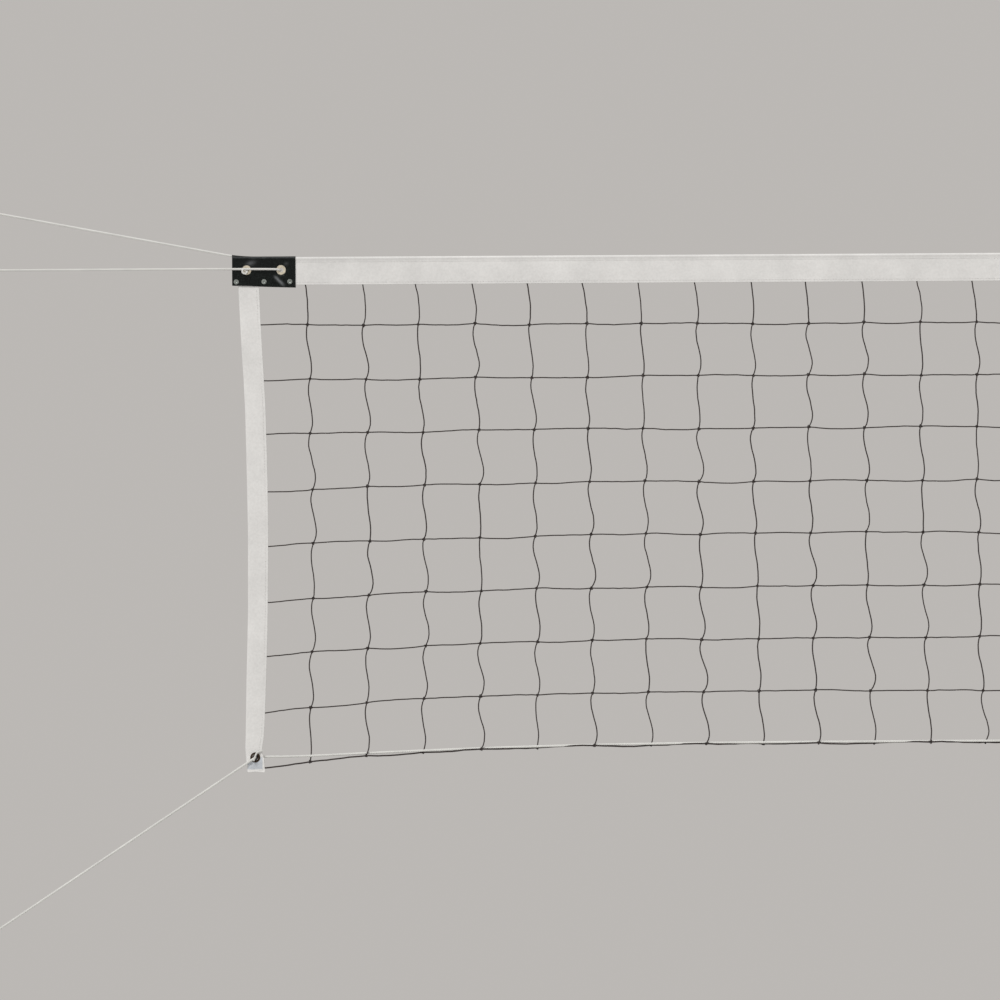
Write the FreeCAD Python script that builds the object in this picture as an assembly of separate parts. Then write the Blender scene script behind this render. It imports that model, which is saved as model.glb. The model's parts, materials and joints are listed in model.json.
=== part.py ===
import FreeCAD, Part
import math
import os

from FreeCAD import Vector

# A volleyball net on two telescopic poles: square knotted mesh under a folded canvas head
# band, with canvas side tapes, riveted vinyl corner patches and cords that go to the poles.
# Millimetres. X runs along the net, the front faces -Y, Z is up.
# The origin is on the floor, midway between the poles.
# The left half is built, and the right half is its mirror image in the plane X = 0.
# The net and its cords are drawn from the head band's top edge, then raised to its height.

# Net
net_height = 2430.0          # top edge of the head band, above the floor
net_length = 9500.0          # between the outer ends of the corner patches
mesh_size = 100.0            # knot to knot along a twine
twine = 2.6                  # diameter of the mesh twine
side_selvedge_inset = 33.5   # side edge twine, from the net's end, at the top
side_lean = 5.0              # it comes outwards this much at the bottom
first_column_inset = 133.0   # first free upright twine, from the net's end
first_row_drop = 123.0       # first level twine, below the top edge
mesh_rows = 8                # from the first level twine to the bottom edge
hung_row_pitch = 94.25       # slack uprights hang a little shorter than the mesh size
corner_drop = 38.0           # the bottom edge is pulled down this much at the corners
corner_reach = 1000.0        # length of bottom edge that the corner's pull bends
twines_per_line = 2          # the mesh is drawn with every second twine

# Head band, folded over the head rope
canvas = 1.0                 # one layer
band_height = 50.0
seam_clearance = 0.3         # between layers and what they hold
mesh_top_drop = 8.0          # the mesh's top selvedge, below the band's top edge

# Cords
cord_diameter = 4.0
cord_clearance = 0.3
head_rise_deg = 10.9         # the head rope leaves the corner upwards
head_bend_inset = 15.0       # where it starts to rise, inside the corner
head_bend_radius = 40.0
bottom_fall_deg = 33.5       # the bottom rope leaves the corner downwards

# Corner patch, folded over the band's end
vinyl = 1.2
patch_length = 114.0
patch_overhang = 3.5         # below the band
patch_clearance = 0.2
patch_corner_radius = 3.0

# Eyelets and rivets
eyelet_drop = 23.5
outer_eyelet_inset = 26.0
inner_eyelet_inset = 88.0
eyelet_bore = 8.0
eyelet_wall = 0.8
eyelet_flange = 17.5
eyelet_rim = 0.8             # thickness of a flange
tape_eyelet_bore = 11.0
tape_eyelet_flange = 18.0
tape_eyelet_inset = 36.5
tape_eyelet_drop = 900.0
rivet_shank = 3.6
rivet_head = 10.0
rivet_head_height = 1.2
rivet_chamfer = 0.6
rivet_roll = 8.0             # diameter of the rolled end
rivet_dimple = 4.0
rivet_drop = 44.5
rivet_insets = (7.4, 57.4, 103.7)

# Side tape, folded round the mesh's side edge
tape_drop = 925.0            # bottom end, below the top edge
tape_pinch_drop = 888.0
tape_middle_drop = 500.0
tape_top_inset = 10.5
tape_middle_inset = 25.5
tape_pinch_inset = 20.5
tape_end_inset = 22.0
tape_width = 38.0
tape_middle_width = 36.5
tape_pinch_width = 29.5
tape_end_width = 32.5

# Pole tubes
pole_distance = 500.0        # from the net's end to the pole's axis
outer_tube_diameter = 88.9
outer_tube_wall = 3.2
outer_tube_top = 750.0
mast_diameter = 76.1
mast_wall = 2.6
mast_end_plate = 4.0         # welded into the mast's foot
height_travel = 330.0        # how far the mast goes down
foot_space = 6.0             # left under the mast's foot when it is down
running_fit = 0.05           # between turning or sliding pieces, on the radius
pin_seat_clearance = 0.02    # between a fixed piece and its seat, on the radius
free_gap = 0.3               # between pieces that only pass each other

# Base
base_side = 300.0
base_thickness = 12.0
base_corner_radius = 20.0
base_bolt_spacing = 240.0
base_bolt_hole = 14.0
gusset_height = 90.0
gusset_reach = 70.0
gusset_thickness = 8.0
gusset_toe = 12.0

# Bushes that guide the mast
bush_length = 60.0
bush_lip = 2.0
foot_bush_length = 40.0

# Clamp
collar_diameter = 108.0
collar_skirt = 35.0          # down over the outer tube
collar_height = 48.0         # above the bush's lip
boss_diameter = 34.0
boss_reach = 72.0            # from the mast's axis
shoe_diameter = 20.0
shoe_thickness = 8.0
clamp_travel = 1.75          # one turn of the screw
clamp_screw_diameter = 12.0
screw_neck = 12.0            # between the boss and the knob
knob_diameter = 60.0
knob_thickness = 24.0
knob_lobes = 6
knob_scallop = 16.0          # diameter of the scallops between its lobes
knob_floor = 6.0             # between the screw's end and the knob's face
knob_rounding = 2.5

# Pole head
cap_thickness = 5.0
cap_spigot = 25.0
cheek_thickness = 4.0
cheek_width = 32.0
sheave_width = 14.0
sheave_side_gap = 0.8
sheave_rim_height = 5.0      # the rim stands this much outside the cord's centre line
sheave_pitch_radius = 30.0   # to the cord's centre line
sheave_inset = 18.0          # the sheave's axis, outwards from the mast's axis
sheave_above_mast = 49.0     # the sheave's axis, above the mast's top end
sheave_rim_edge = 1.5
sheave_hole = 9.0
sheave_holes = 5
axle_diameter = 10.0
axle_head = 17.0             # across its flats
axle_head_height = 6.5
axle_end = 2.0               # past the nut

# Cleat on the outer side of the mast
cleat_height = 1300.0
cleat_length = 150.0
cleat_stem = 60.0
cleat_neck = 45.0            # where the stem meets the horns' undersides
cleat_width = 14.0
cleat_standoff = 20.0        # from the mast to the horns
horn_thickness = 10.0
horn_tip = 6.0
horn_lip = 2.0               # turned up at the tips
horn_lip_length = 6.0
cleat_screw = 5.0
cleat_screw_head = 10.0
cleat_screw_sink = 3.0
cleat_screw_end = 3.0        # inside the mast
cleat_screw_spacing = 34.0
turn_gap = 0.5               # between the cord's turns on the cleat

# Where the lower cords go round the mast
knot_distance = 60.0         # from the mast's axis to the knot
knot_bend_radius = 16.0
mast_loop_corners = 8
sheave_corners = 4
bend_share = 0.45            # of a run, taken by the bend at its end
behind_tape = 4.0            # the bottom rope runs straight this far past the tape
eyelet_rise = 0.5            # and rises this much on the way

# Bottom rope, from the net's end to its bends beside the mesh
bottom_rope_insets = (118.0, 350.0, 700.0, 1150.0)

# Worked out from the sizes above: the net
half_length = net_length / 2
columns = round((net_length - 2 * first_column_inset) / mesh_size)
columns += columns % twines_per_line
column_pitch = (net_length - 2 * first_column_inset) / columns
net_depth = first_row_drop + mesh_rows * hung_row_pitch
cord_radius = cord_diameter / 2
rope_channel = cord_radius + seam_clearance
rope_drop = canvas + rope_channel                  # head rope's centre, below the top edge
slot_half = twine / 2 + seam_clearance             # half the space between two layers
layer_half = slot_half + canvas                    # half the band's thickness
patch_inner = layer_half + patch_clearance
patch_outer = patch_inner + vinyl
patch_drop = band_height + patch_overhang
eyelet_barrel = eyelet_bore / 2 + eyelet_wall
tape_eyelet_barrel = tape_eyelet_bore / 2 + eyelet_wall
tape_eyelet_x = -half_length + tape_eyelet_inset
lashing_y = -(patch_outer + eyelet_rim + cord_clearance + cord_radius)
bottom_front_y = -(layer_half + eyelet_rim + cord_clearance + cord_radius)
mesh_front_y = -(twine / 2 + cord_clearance + cord_radius)

# Worked out: the pole, whose sheave touches the head rope's straight line
head_rise = math.radians(head_rise_deg)
pole_x = -half_length - pole_distance
mast_radius = mast_diameter / 2
mast_bore = mast_radius - mast_wall
outer_radius = outer_tube_diameter / 2
outer_bore = outer_radius - outer_tube_wall
sheave_x = pole_x - sheave_inset
rope_run = -half_length + head_bend_inset - sheave_x - sheave_pitch_radius * math.sin(head_rise)
rope_climb = rope_run * math.tan(head_rise) - sheave_pitch_radius * math.cos(head_rise)
sheave_z = net_height - rope_drop + rope_climb
mast_top = sheave_z - sheave_above_mast
mast_foot = base_thickness + height_travel + bush_lip + foot_space
bush_top = outer_tube_top + bush_lip
collar_top = bush_top + collar_height
clamp_height = bush_top + collar_height / 2
shoe_back = mast_radius + free_gap + shoe_thickness         # from the mast's axis, when clamped
pocket_end = shoe_back + clamp_travel + free_gap
knob_start = boss_reach + screw_neck
knob_end = knob_start + knob_thickness
screw_end = knob_end - knob_floor
cheek_inner = sheave_width / 2 + sheave_side_gap
cheek_outer = cheek_inner + cheek_thickness
nut_end = cheek_outer + axle_head_height
horn_under = mast_radius + cleat_standoff
cleat_face = horn_under + horn_thickness
screw_seat = cleat_face - cleat_screw_sink


def extruded(face, thickness):
    """A face in the plane Y = 0, thickened equally to the front and the back."""
    moved = face.translated(Vector(0, -thickness / 2, 0))
    return moved.extrude(Vector(0, thickness, 0))


def outline(points):
    """A face in the plane Y = 0 from (x, z) corners."""
    corners = [Vector(x, 0, z) for x, z in points]
    return Part.Face(Part.makePolygon(corners + corners[:1]))


def box(x0, x1, y0, y1, z0, z1):
    return Part.makeBox(x1 - x0, y1 - y0, z1 - z0, Vector(x0, y0, z0))


def bar(radius, x, z, y0, y1):
    """A round bar along Y."""
    return Part.makeCylinder(radius, y1 - y0, Vector(x, y0, z), Vector(0, 1, 0))


def tube(points, diameter):
    """A cord: straight runs joined by tangent arcs, each as large as its two runs allow, or of
    the radius that a point gives as its fourth value."""
    path = [Vector(*p[:3]) for p in points]
    given = [p[3] if len(p) > 3 else None for p in points]
    edges = []
    here = path[0]
    for before, corner, after, tight in zip(path, path[1:], path[2:], given[1:]):
        back, on = before - corner, after - corner
        share = bend_share * min(back.Length, on.Length)
        back.normalize()
        on.normalize()
        half_turn = (math.pi - back.getAngle(on)) / 2
        radius = tight or share / math.tan(half_turn)
        reach = radius * math.tan(half_turn)
        start, end = corner + back * reach, corner + on * reach
        inward = (back + on).normalize()
        middle = corner + inward * (radius / math.cos(half_turn) - radius)
        edges.append(Part.LineSegment(here, start).toShape())
        edges.append(Part.Arc(start, middle, end).toShape())
        radii.append(radius)
        here = end
    edges.append(Part.LineSegment(here, path[-1]).toShape())
    wire = Part.Wire(edges)
    section = Part.Wire(Part.makeCircle(diameter / 2, path[0], path[1] - path[0]))
    solid = Part.Solid(wire.makePipeShell([section], True, False))
    expected = wire.Length * math.pi * diameter ** 2 / 4
    print(f"cord {wire.Length:.0f} mm, volume {solid.Volume / expected:.4f} of its section times length")
    return solid


radii = []


def ring(profile, x, z):
    """A round piece on an axis along Y, from (radius, y) corners."""
    face = Part.Face(Part.makePolygon([Vector(r, y, 0) for r, y in profile + profile[:1]]))
    return face.revolve(Vector(), Vector(0, 1, 0), 360).translated(Vector(x, 0, z))


# Mesh

def bottom_edge(x):
    """Height of the mesh's bottom edge: level in the middle, pulled down at the corners."""
    share = max(0.0, (abs(x) - half_length + corner_reach) / corner_reach)
    return -net_depth - corner_drop * share ** 2


def row_height(x, row):
    """Height of a level twine at x; row 0 is the first, mesh_rows the bottom edge."""
    return -first_row_drop + (bottom_edge(x) + first_row_drop) * row / mesh_rows


def line_x(x, z):
    """An upright's place at a height: the two side edges lean outwards."""
    on_side = abs(x) > half_length - first_column_inset + twine
    return x + math.copysign(side_lean * -z / net_depth, x) if on_side else x


def net_mesh():
    """One flat face with a four-sided gap for each cell of the drawn mesh."""
    side = half_length - side_selvedge_inset
    first = half_length - first_column_inset
    lines = [-side]
    lines += [-first + column_pitch * i for i in range(0, columns + 1, twines_per_line)]
    lines.append(side)
    rows = list(range(0, mesh_rows + 1, twines_per_line))
    half = twine / 2
    top = -mesh_top_drop
    low = bottom_edge(side) - half
    corner = line_x(side, low) + half
    rim = [(-corner, low)] + [(x, bottom_edge(x) - half) for x in lines[1:-1]] + [(corner, low)]
    border = outline(rim + [(side + half, top), (-side - half, top)])
    gaps = []
    for left, right in zip(lines, lines[1:]):
        west_top, east_top = top - twine, top - twine
        for row in rows:
            west_low, east_low = row_height(left, row) + half, row_height(right, row) + half
            gaps.append(outline([
                (line_x(left, west_top) + half, west_top), (line_x(right, east_top) - half, east_top),
                (line_x(right, east_low) - half, east_low), (line_x(left, west_low) + half, west_low)]))
            west_top, east_top = west_low - twine, east_low - twine
    print(f"mesh drawn with {len(gaps)} gaps")
    wires = [border.OuterWire] + [gap.OuterWire for gap in gaps]
    return extruded(Part.makeFace(wires, "Part::FaceMakerBullseye"), twine)


# Folded canvas and vinyl

def folded(x0, x1, loop, half, drop):
    """The space inside a strip folded over the head rope, from x0 to x1."""
    centre = Vector(x0, 0, -rope_drop)
    fold = Part.makeCylinder(loop, x1 - x0, centre, Vector(1, 0, 0))
    legs = box(x0, x1, -half, half, -drop, -rope_drop)
    return fold.fuse(legs).removeSplitter()


def rivet_points():
    return [(-half_length + inset, -rivet_drop) for inset in rivet_insets]


def eyelet_points():
    return [(-half_length + inset, -eyelet_drop) for inset in (outer_eyelet_inset, inner_eyelet_inset)]


def corner_holes(reach):
    """What the corner's eyelets, rivets and rising head rope cut from band and patch."""
    shank = rivet_shank / 2 + pin_seat_clearance
    barrel = eyelet_barrel + pin_seat_clearance
    holes = [bar(shank, x, z, -reach, reach) for x, z in rivet_points()]
    holes += [bar(barrel, x, z, -reach, reach) for x, z in eyelet_points()]
    start = Vector(-half_length + head_bend_inset, 0, -rope_drop)
    direction = Vector(-math.cos(head_rise), 0, math.sin(head_rise))
    holes.append(Part.makeCylinder(rope_channel, 2 * head_bend_inset, start, direction))
    return holes


def head_band():
    """Two-fold canvas over the whole length, with the rope in its fold."""
    outer = folded(-half_length, half_length, rope_channel + canvas, layer_half, band_height)
    inner = folded(-half_length, half_length, rope_channel, slot_half, band_height)
    band = outer.cut(inner)
    holes = corner_holes(2 * layer_half)
    return band.cut(holes + [hole.mirror(Vector(), Vector(1, 0, 0)) for hole in holes])


def corner_patch():
    """Vinyl folded over the band's end."""
    x0, x1 = -half_length, -half_length + patch_length
    loop = rope_channel + canvas + patch_clearance
    patch = folded(x0, x1, loop + vinyl, patch_outer, patch_drop)
    lowest = patch.BoundBox.ZMin + pin_seat_clearance
    across = [e for e in patch.Edges if e.BoundBox.ZMax < lowest and e.BoundBox.YLength > patch_outer]
    patch = patch.makeFillet(patch_corner_radius, across)
    return patch.cut([folded(x0, x1, loop, patch_inner, patch_drop)] + corner_holes(2 * patch_outer))


def tape_outline(grow, top):
    """The tape's outline; grow moves its folded edge inwards and opens its inner edge."""
    end = -half_length
    left = [(end + tape_top_inset + grow, top),
            (end + tape_middle_inset + grow, -tape_middle_drop),
            (end + tape_pinch_inset + grow, -tape_pinch_drop),
            (end + tape_end_inset + grow, -tape_drop)]
    widths = (tape_width, tape_middle_width, tape_pinch_width, tape_end_width)
    right = [(x - grow + width + 3 * grow, z) for (x, z), width in zip(left, widths)]
    (a, b, c, d), (e, f, g, h) = ([Vector(x, 0, z) for x, z in side] for side in (left, right))
    edges = [Part.Arc(a, b, c).toShape(), Part.LineSegment(c, d).toShape(),
             Part.LineSegment(d, h).toShape(), Part.LineSegment(h, g).toShape(),
             Part.Arc(g, f, e).toShape(), Part.LineSegment(e, a).toShape()]
    return Part.Face(Part.Wire(edges))


def side_tape():
    """Two-fold canvas round the mesh's side edge, open towards the mesh."""
    top = -band_height - seam_clearance
    tape = extruded(tape_outline(0.0, top), 2 * layer_half)
    slot = extruded(tape_outline(canvas, top), 2 * slot_half)
    barrel = tape_eyelet_barrel + pin_seat_clearance
    hole = bar(barrel, tape_eyelet_x, -tape_eyelet_drop, -2 * layer_half, 2 * layer_half)
    return tape.cut([slot, hole])


# Metal fittings

def eyelet(x, z, bore, flange, grip):
    """Barrel with a rolled front flange, through layers of half thickness grip."""
    r0, r1, r2 = bore / 2, bore / 2 + eyelet_wall, flange / 2
    front = -grip - eyelet_rim
    return ring([(r0, grip), (r0, front + eyelet_rim / 2), (r0 + eyelet_rim / 2, front),
                 (r2 - eyelet_rim, front), (r2, -grip), (r1, -grip), (r1, grip)], x, z)


def washer(x, z, bore, flange, grip):
    """Spur washer under the barrel's rolled end, at the back."""
    r0, r1, r2 = bore / 2, bore / 2 + eyelet_wall, flange / 2
    back = grip + eyelet_rim
    return ring([(r0, grip), (r2, grip), (r2 - eyelet_rim, back), (r1, back), (r0, back - eyelet_rim / 2)], x, z)


def rivet(x, z):
    """Tubular rivet: a head at the front, its rolled end at the back."""
    r0, r1, r2, r3 = rivet_dimple / 2, rivet_shank / 2, rivet_head / 2, rivet_roll / 2
    face_y = patch_outer + rivet_head_height
    return ring([(0, -patch_outer), (r0, -patch_outer - rivet_chamfer), (r0 + rivet_chamfer, -face_y),
                 (r2 - rivet_chamfer, -face_y), (r2, -patch_outer), (r1, -patch_outer), (r1, patch_outer),
                 (r3, patch_outer), (r3 - rivet_chamfer, face_y), (r0, face_y), (0, patch_outer)], x, z)


# Pole, on the left, with its axis at pole_x

def disc(radius, z0, z1):
    return Part.makeCylinder(radius, z1 - z0, Vector(pole_x, 0, z0))


def base_plate():
    half, bolt = base_side / 2, base_bolt_spacing / 2
    plate = box(pole_x - half, pole_x + half, -half, half, 0, base_thickness)
    corners = [e for e in plate.Edges if e.BoundBox.ZLength > base_thickness / 2]
    plate = plate.makeFillet(base_corner_radius, corners)
    holes = [Part.makeCylinder(base_bolt_hole / 2, base_thickness, Vector(pole_x + sx * bolt, sy * bolt, 0))
             for sx in (-1, 1) for sy in (-1, 1)]
    return plate.cut(holes)


def base_gussets():
    """Four triangular plates between the outer tube and the base plate."""
    x0, z0 = outer_radius, base_thickness
    corners = [(x0, z0), (x0 + gusset_reach, z0), (x0 + gusset_reach, z0 + gusset_toe),
               (x0 + gusset_toe, z0 + gusset_height), (x0, z0 + gusset_height)]
    gusset = extruded(outline(corners), gusset_thickness)
    gusset = gusset.cut(Part.makeCylinder(outer_radius, gusset_height + base_thickness))
    turned = [gusset.rotated(Vector(), Vector(0, 0, 1), 45 + 90 * i) for i in range(4)]
    return [one.translated(Vector(pole_x, 0, 0)) for one in turned]


def outer_tube():
    bore = disc(outer_bore, base_thickness, outer_tube_top)
    return disc(outer_radius, base_thickness, outer_tube_top).cut(bore)


def guide_bush():
    """Lines the outer tube's mouth, and its lip sits on the tube's end."""
    radius = outer_bore - pin_seat_clearance
    sleeve = disc(radius, outer_tube_top - bush_length, outer_tube_top)
    lip = disc(outer_radius, outer_tube_top, outer_tube_top + bush_lip)
    bore = disc(mast_radius + running_fit, outer_tube_top - bush_length, outer_tube_top + bush_lip)
    return sleeve.fuse(lip).removeSplitter().cut(bore)


def mast():
    """The sliding tube, closed by a plate at its foot."""
    bore = disc(mast_bore, mast_foot + mast_end_plate, mast_top)
    return disc(mast_radius, mast_foot, mast_top).cut([bore] + cleat_screw_holes())


def mast_foot_bush():
    """A sleeve round the mast's foot, closed underneath, that runs in the outer tube."""
    body = disc(outer_bore - running_fit, mast_foot - bush_lip, mast_foot + foot_bush_length)
    return body.cut(disc(mast_radius + pin_seat_clearance, mast_foot, mast_foot + foot_bush_length))


def clamp_collar():
    """A cap ring over the tube's mouth, with a boss at the front for the clamp screw."""
    low = outer_tube_top - collar_skirt
    boss = bar(boss_diameter / 2, pole_x, clamp_height, -boss_reach, 0)
    body = disc(collar_diameter / 2, low, collar_top).fuse(boss).removeSplitter()
    body = body.cut([disc(mast_radius + free_gap, low, collar_top),
                     disc(outer_radius + pin_seat_clearance, low, bush_top)])
    pocket = bar(shoe_diameter / 2 + running_fit, pole_x, clamp_height, -pocket_end, 0)
    thread = bar(clamp_screw_diameter / 2 + running_fit, pole_x, clamp_height, -boss_reach, 0)
    return body.cut([pocket, thread])


def clamp_shoe():
    """A plug whose inner face is hollowed to the mast's curve."""
    plug = bar(shoe_diameter / 2, pole_x, clamp_height, -shoe_back, -mast_radius / 2)
    height = clamp_height - shoe_diameter
    hollow = Part.makeCylinder(mast_radius + free_gap, 2 * shoe_diameter, Vector(pole_x, 0, height))
    return plug.cut(hollow)


def clamp_screw():
    return bar(clamp_screw_diameter / 2, pole_x, clamp_height, -screw_end, -shoe_back)


def clamp_knob():
    """A round hand knob with rounded rims, scalloped into lobes and blind on the screw's end."""
    rim, slope = knob_diameter / 2, knob_rounding * (1 - math.sqrt(0.5))
    low, high = -knob_end, -knob_start
    corners = [(0, low), (rim - knob_rounding, low), (rim - slope, low + slope), (rim, low + knob_rounding),
               (rim, high - knob_rounding), (rim - slope, high - slope), (rim - knob_rounding, high), (0, high)]
    a, b, c, d, e, f, g, h = (Vector(r, y, 0) for r, y in corners)
    edges = [Part.LineSegment(a, b).toShape(), Part.Arc(b, c, d).toShape(), Part.LineSegment(d, e).toShape(),
             Part.Arc(e, f, g).toShape(), Part.LineSegment(g, h).toShape(), Part.LineSegment(h, a).toShape()]
    body = Part.Face(Part.Wire(edges)).revolve(Vector(), Vector(0, 1, 0), 360)
    knob = body.translated(Vector(pole_x, 0, clamp_height))
    pitch = knob_diameter / 2 + knob_scallop / 4
    step = 2 * math.pi / knob_lobes
    scallops = [bar(knob_scallop / 2, pole_x + pitch * math.cos(step * i), clamp_height + pitch * math.sin(step * i),
                    low, high) for i in range(knob_lobes)]
    seat = bar(clamp_screw_diameter / 2 + pin_seat_clearance, pole_x, clamp_height, -screw_end, high)
    return knob.cut(scallops + [seat])

# Pole head, with the sheave for the head rope

def head_bracket():
    """A cap plugged into the mast, with two cheeks that carry the sheave's axle."""
    half = cheek_width / 2
    cap_top = mast_top + cap_thickness
    body = disc(mast_radius, mast_top, cap_top)
    body = body.fuse(disc(mast_bore - pin_seat_clearance, mast_top - cap_spigot, mast_top))
    for side in (-1, 1):
        y0, y1 = sorted((side * cheek_inner, side * cheek_outer))
        cheek = box(sheave_x - half, sheave_x + half, y0, y1, cap_top, sheave_z)
        body = body.fuse(cheek.fuse(bar(half, sheave_x, sheave_z, y0, y1)))
    hole = bar(axle_diameter / 2 + pin_seat_clearance, sheave_x, sheave_z, -cheek_outer, cheek_outer)
    return body.removeSplitter().cut(hole)


def sheave():
    """A grooved wheel with a ring of holes in its web."""
    half = sheave_width / 2
    groove = cord_radius + cord_clearance
    rim = sheave_pitch_radius + sheave_rim_height
    bore = axle_diameter / 2 + running_fit
    floor = sheave_pitch_radius - groove
    corners = [(sheave_pitch_radius, groove), (rim, half - sheave_rim_edge), (rim, half), (bore, half),
               (bore, -half), (rim, -half), (rim, sheave_rim_edge - half), (sheave_pitch_radius, -groove)]
    points = [Vector(r, y, 0) for r, y in corners]
    edges = [Part.LineSegment(a, b).toShape() for a, b in zip(points, points[1:])]
    edges.append(Part.Arc(points[-1], Vector(floor, 0, 0), points[0]).toShape())
    wheel = Part.Face(Part.Wire(edges)).revolve(Vector(), Vector(0, 1, 0), 360)
    pitch = (bore + floor) / 2
    step = 2 * math.pi / sheave_holes
    holes = [bar(sheave_hole / 2, pitch * math.cos(step * i), pitch * math.sin(step * i), -half, half)
             for i in range(sheave_holes)]
    return wheel.cut(holes).translated(Vector(sheave_x, 0, sheave_z))


def hexagon(across, y0, y1):
    """A six-sided bar on the sheave's axis, by the width across its flats."""
    radius = across / math.sqrt(3)
    turns = [math.pi / 3 * i for i in range(6)]
    points = [(sheave_x + radius * math.cos(turn), sheave_z + radius * math.sin(turn)) for turn in turns]
    return outline(points).translated(Vector(0, y0, 0)).extrude(Vector(0, y1 - y0, 0))


def sheave_axle():
    """A bolt with its head at the front and its thread's end at the back."""
    shank = bar(axle_diameter / 2, sheave_x, sheave_z, -cheek_outer, nut_end + axle_end)
    return shank.fuse(hexagon(axle_head, -nut_end, -cheek_outer)).removeSplitter()


def axle_nut():
    nut = hexagon(axle_head, cheek_outer, nut_end)
    return nut.cut(bar(axle_diameter / 2 + pin_seat_clearance, sheave_x, sheave_z, cheek_outer, nut_end))


# Cleat, on the outer side of the mast

def along(radius, z, x0, x1):
    """A round bar along X, from x0 to x1 outwards of the mast's axis."""
    return Part.makeCylinder(radius, x1 - x0, Vector(pole_x - x1, 0, z), Vector(1, 0, 0))


def cleat_screw_places():
    return [cleat_height + side * cleat_screw_spacing / 2 for side in (-1, 1)]


def cleat_screw_holes():
    return [along(cleat_screw / 2 + pin_seat_clearance, z, 0, cleat_face) for z in cleat_screw_places()]


def cleat():
    """Two horns on a stem that is hollowed to the mast's curve."""
    stem, tip, neck = cleat_stem / 2, cleat_length / 2, cleat_neck / 2
    crest, lip = cleat_face + horn_lip, tip - horn_lip_length
    half = [(0, neck), (horn_under, neck), (cleat_face - horn_tip, tip), (cleat_face, tip), (crest, lip),
            (cleat_face, stem)]
    corners = [(x, -z) for x, z in half] + half[::-1]
    shape = extruded(outline([(pole_x - x, cleat_height + z) for x, z in corners]), cleat_width)
    mast_space = disc(mast_radius + pin_seat_clearance, cleat_height - tip, cleat_height + tip)
    heads = [along(cleat_screw_head / 2 + pin_seat_clearance, z, screw_seat, crest) for z in cleat_screw_places()]
    return shape.cut([mast_space] + cleat_screw_holes() + heads)


def cleat_screws():
    end = mast_bore - cleat_screw_end
    head = cleat_screw_head / 2
    return [along(cleat_screw / 2, z, end, screw_seat).fuse(along(head, z, screw_seat, cleat_face)).removeSplitter()
            for z in cleat_screw_places()]


# Cords

def mirrored(points):
    return [(-x, y, z, *rest) for x, y, z, *rest in reversed(points)]


def wrapped(radius, start_deg, turn_deg, corners):
    """Corners of straight runs that all touch a circle, as (along, across) from its centre."""
    step = math.radians(turn_deg) / corners
    first = math.radians(start_deg) + step / 2
    reach = radius / math.cos(step / 2)
    return [(reach * math.cos(first + step * i), reach * math.sin(first + step * i)) for i in range(corners)]


def mast_loop(y, z):
    """From the loop's end, round the mast and back to the knot on the cord's front strand."""
    radius = mast_radius + cord_clearance + cord_radius
    back_y = y + cord_diameter + turn_gap
    start, end = (math.degrees(math.atan2(side_y, knot_distance)
                               + sign * math.acos(radius / math.hypot(side_y, knot_distance)))
                  for side_y, sign in ((back_y, 1), (y, -1)))
    turn = wrapped(radius, start, 360 + end - start, mast_loop_corners)
    knot = pole_x + knot_distance
    return [(knot, back_y, z)] + [(pole_x + a, b, z) for a, b in turn] + [(knot, y, z, knot_bend_radius)]


def cleat_turns():
    """The head rope's end: round the cleat's stem under both horns, from its end upwards."""
    side = cleat_width / 2 + turn_gap + cord_radius
    inner = -(sheave_inset + sheave_pitch_radius)
    outer = inner - cord_diameter - turn_gap
    far = cleat_neck / 2 + 2 * cord_diameter
    route = [(outer, -side, -far / 2), (outer, -side, far), (outer, side, far), (inner, side, -far),
             (inner, -side, -far), (inner, -side, far), (inner, 0, 2 * far + cord_diameter)]
    return [(pole_x + x, y, cleat_height - net_height + z) for x, y, z in route]


def head_rope():
    """From the left cleat up over the sheave, through the band's whole fold, to the right cleat."""
    over = wrapped(sheave_pitch_radius, 180, -90 - head_rise_deg, sheave_corners)
    half = cleat_turns()
    half += [(sheave_x + a, 0, sheave_z - net_height + b) for a, b in over]
    half.append((-half_length + head_bend_inset, 0, -rope_drop, head_bend_radius))
    return tube(half + mirrored(half), cord_diameter)


def lashing_cord():
    """Round the mast, along the patch's front, down the near side of the inner eyelet's bore,
    back behind the patch and out of the outer eyelet against itself."""
    (outer_x, z), (inner_x, _) = eyelet_points()
    end_y = lashing_y + cord_diameter + cord_clearance
    points = mast_loop(lashing_y, z)
    bend = (eyelet_bore + eyelet_rim) / 2
    inner_x -= (eyelet_bore / 2 - cord_radius) / 2
    points += [(inner_x, lashing_y, z, bend), (inner_x, -lashing_y, z, bend),
               (outer_x, -lashing_y, z), (outer_x, end_y, z)]
    return tube(points, cord_diameter)


def bottom_rope():
    """Round the left mast, through the tape's eyelet from the front, along the mesh's bottom
    and out to the right mast."""
    x, z = tape_eyelet_x, -tape_eyelet_drop
    drop = (x - pole_x - knot_distance) * math.tan(math.radians(bottom_fall_deg))
    half = mast_loop(bottom_front_y, z - drop)
    bend = (tape_eyelet_bore + eyelet_rim) / 2
    half += [(x, bottom_front_y, z, bend), (x, -bottom_front_y, z, bend)]
    half.append((x + tape_pinch_width / 2 + behind_tape, -bottom_front_y, z + eyelet_rise))
    for inset in bottom_rope_insets:
        x = -half_length + inset
        half.append((x, mesh_front_y, bottom_edge(x) + cord_diameter))
    return tube(half + mirrored(half), cord_diameter)


def one(shapes):
    return Part.makeCompound(shapes) if len(shapes) > 1 else shapes[0]


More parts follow.
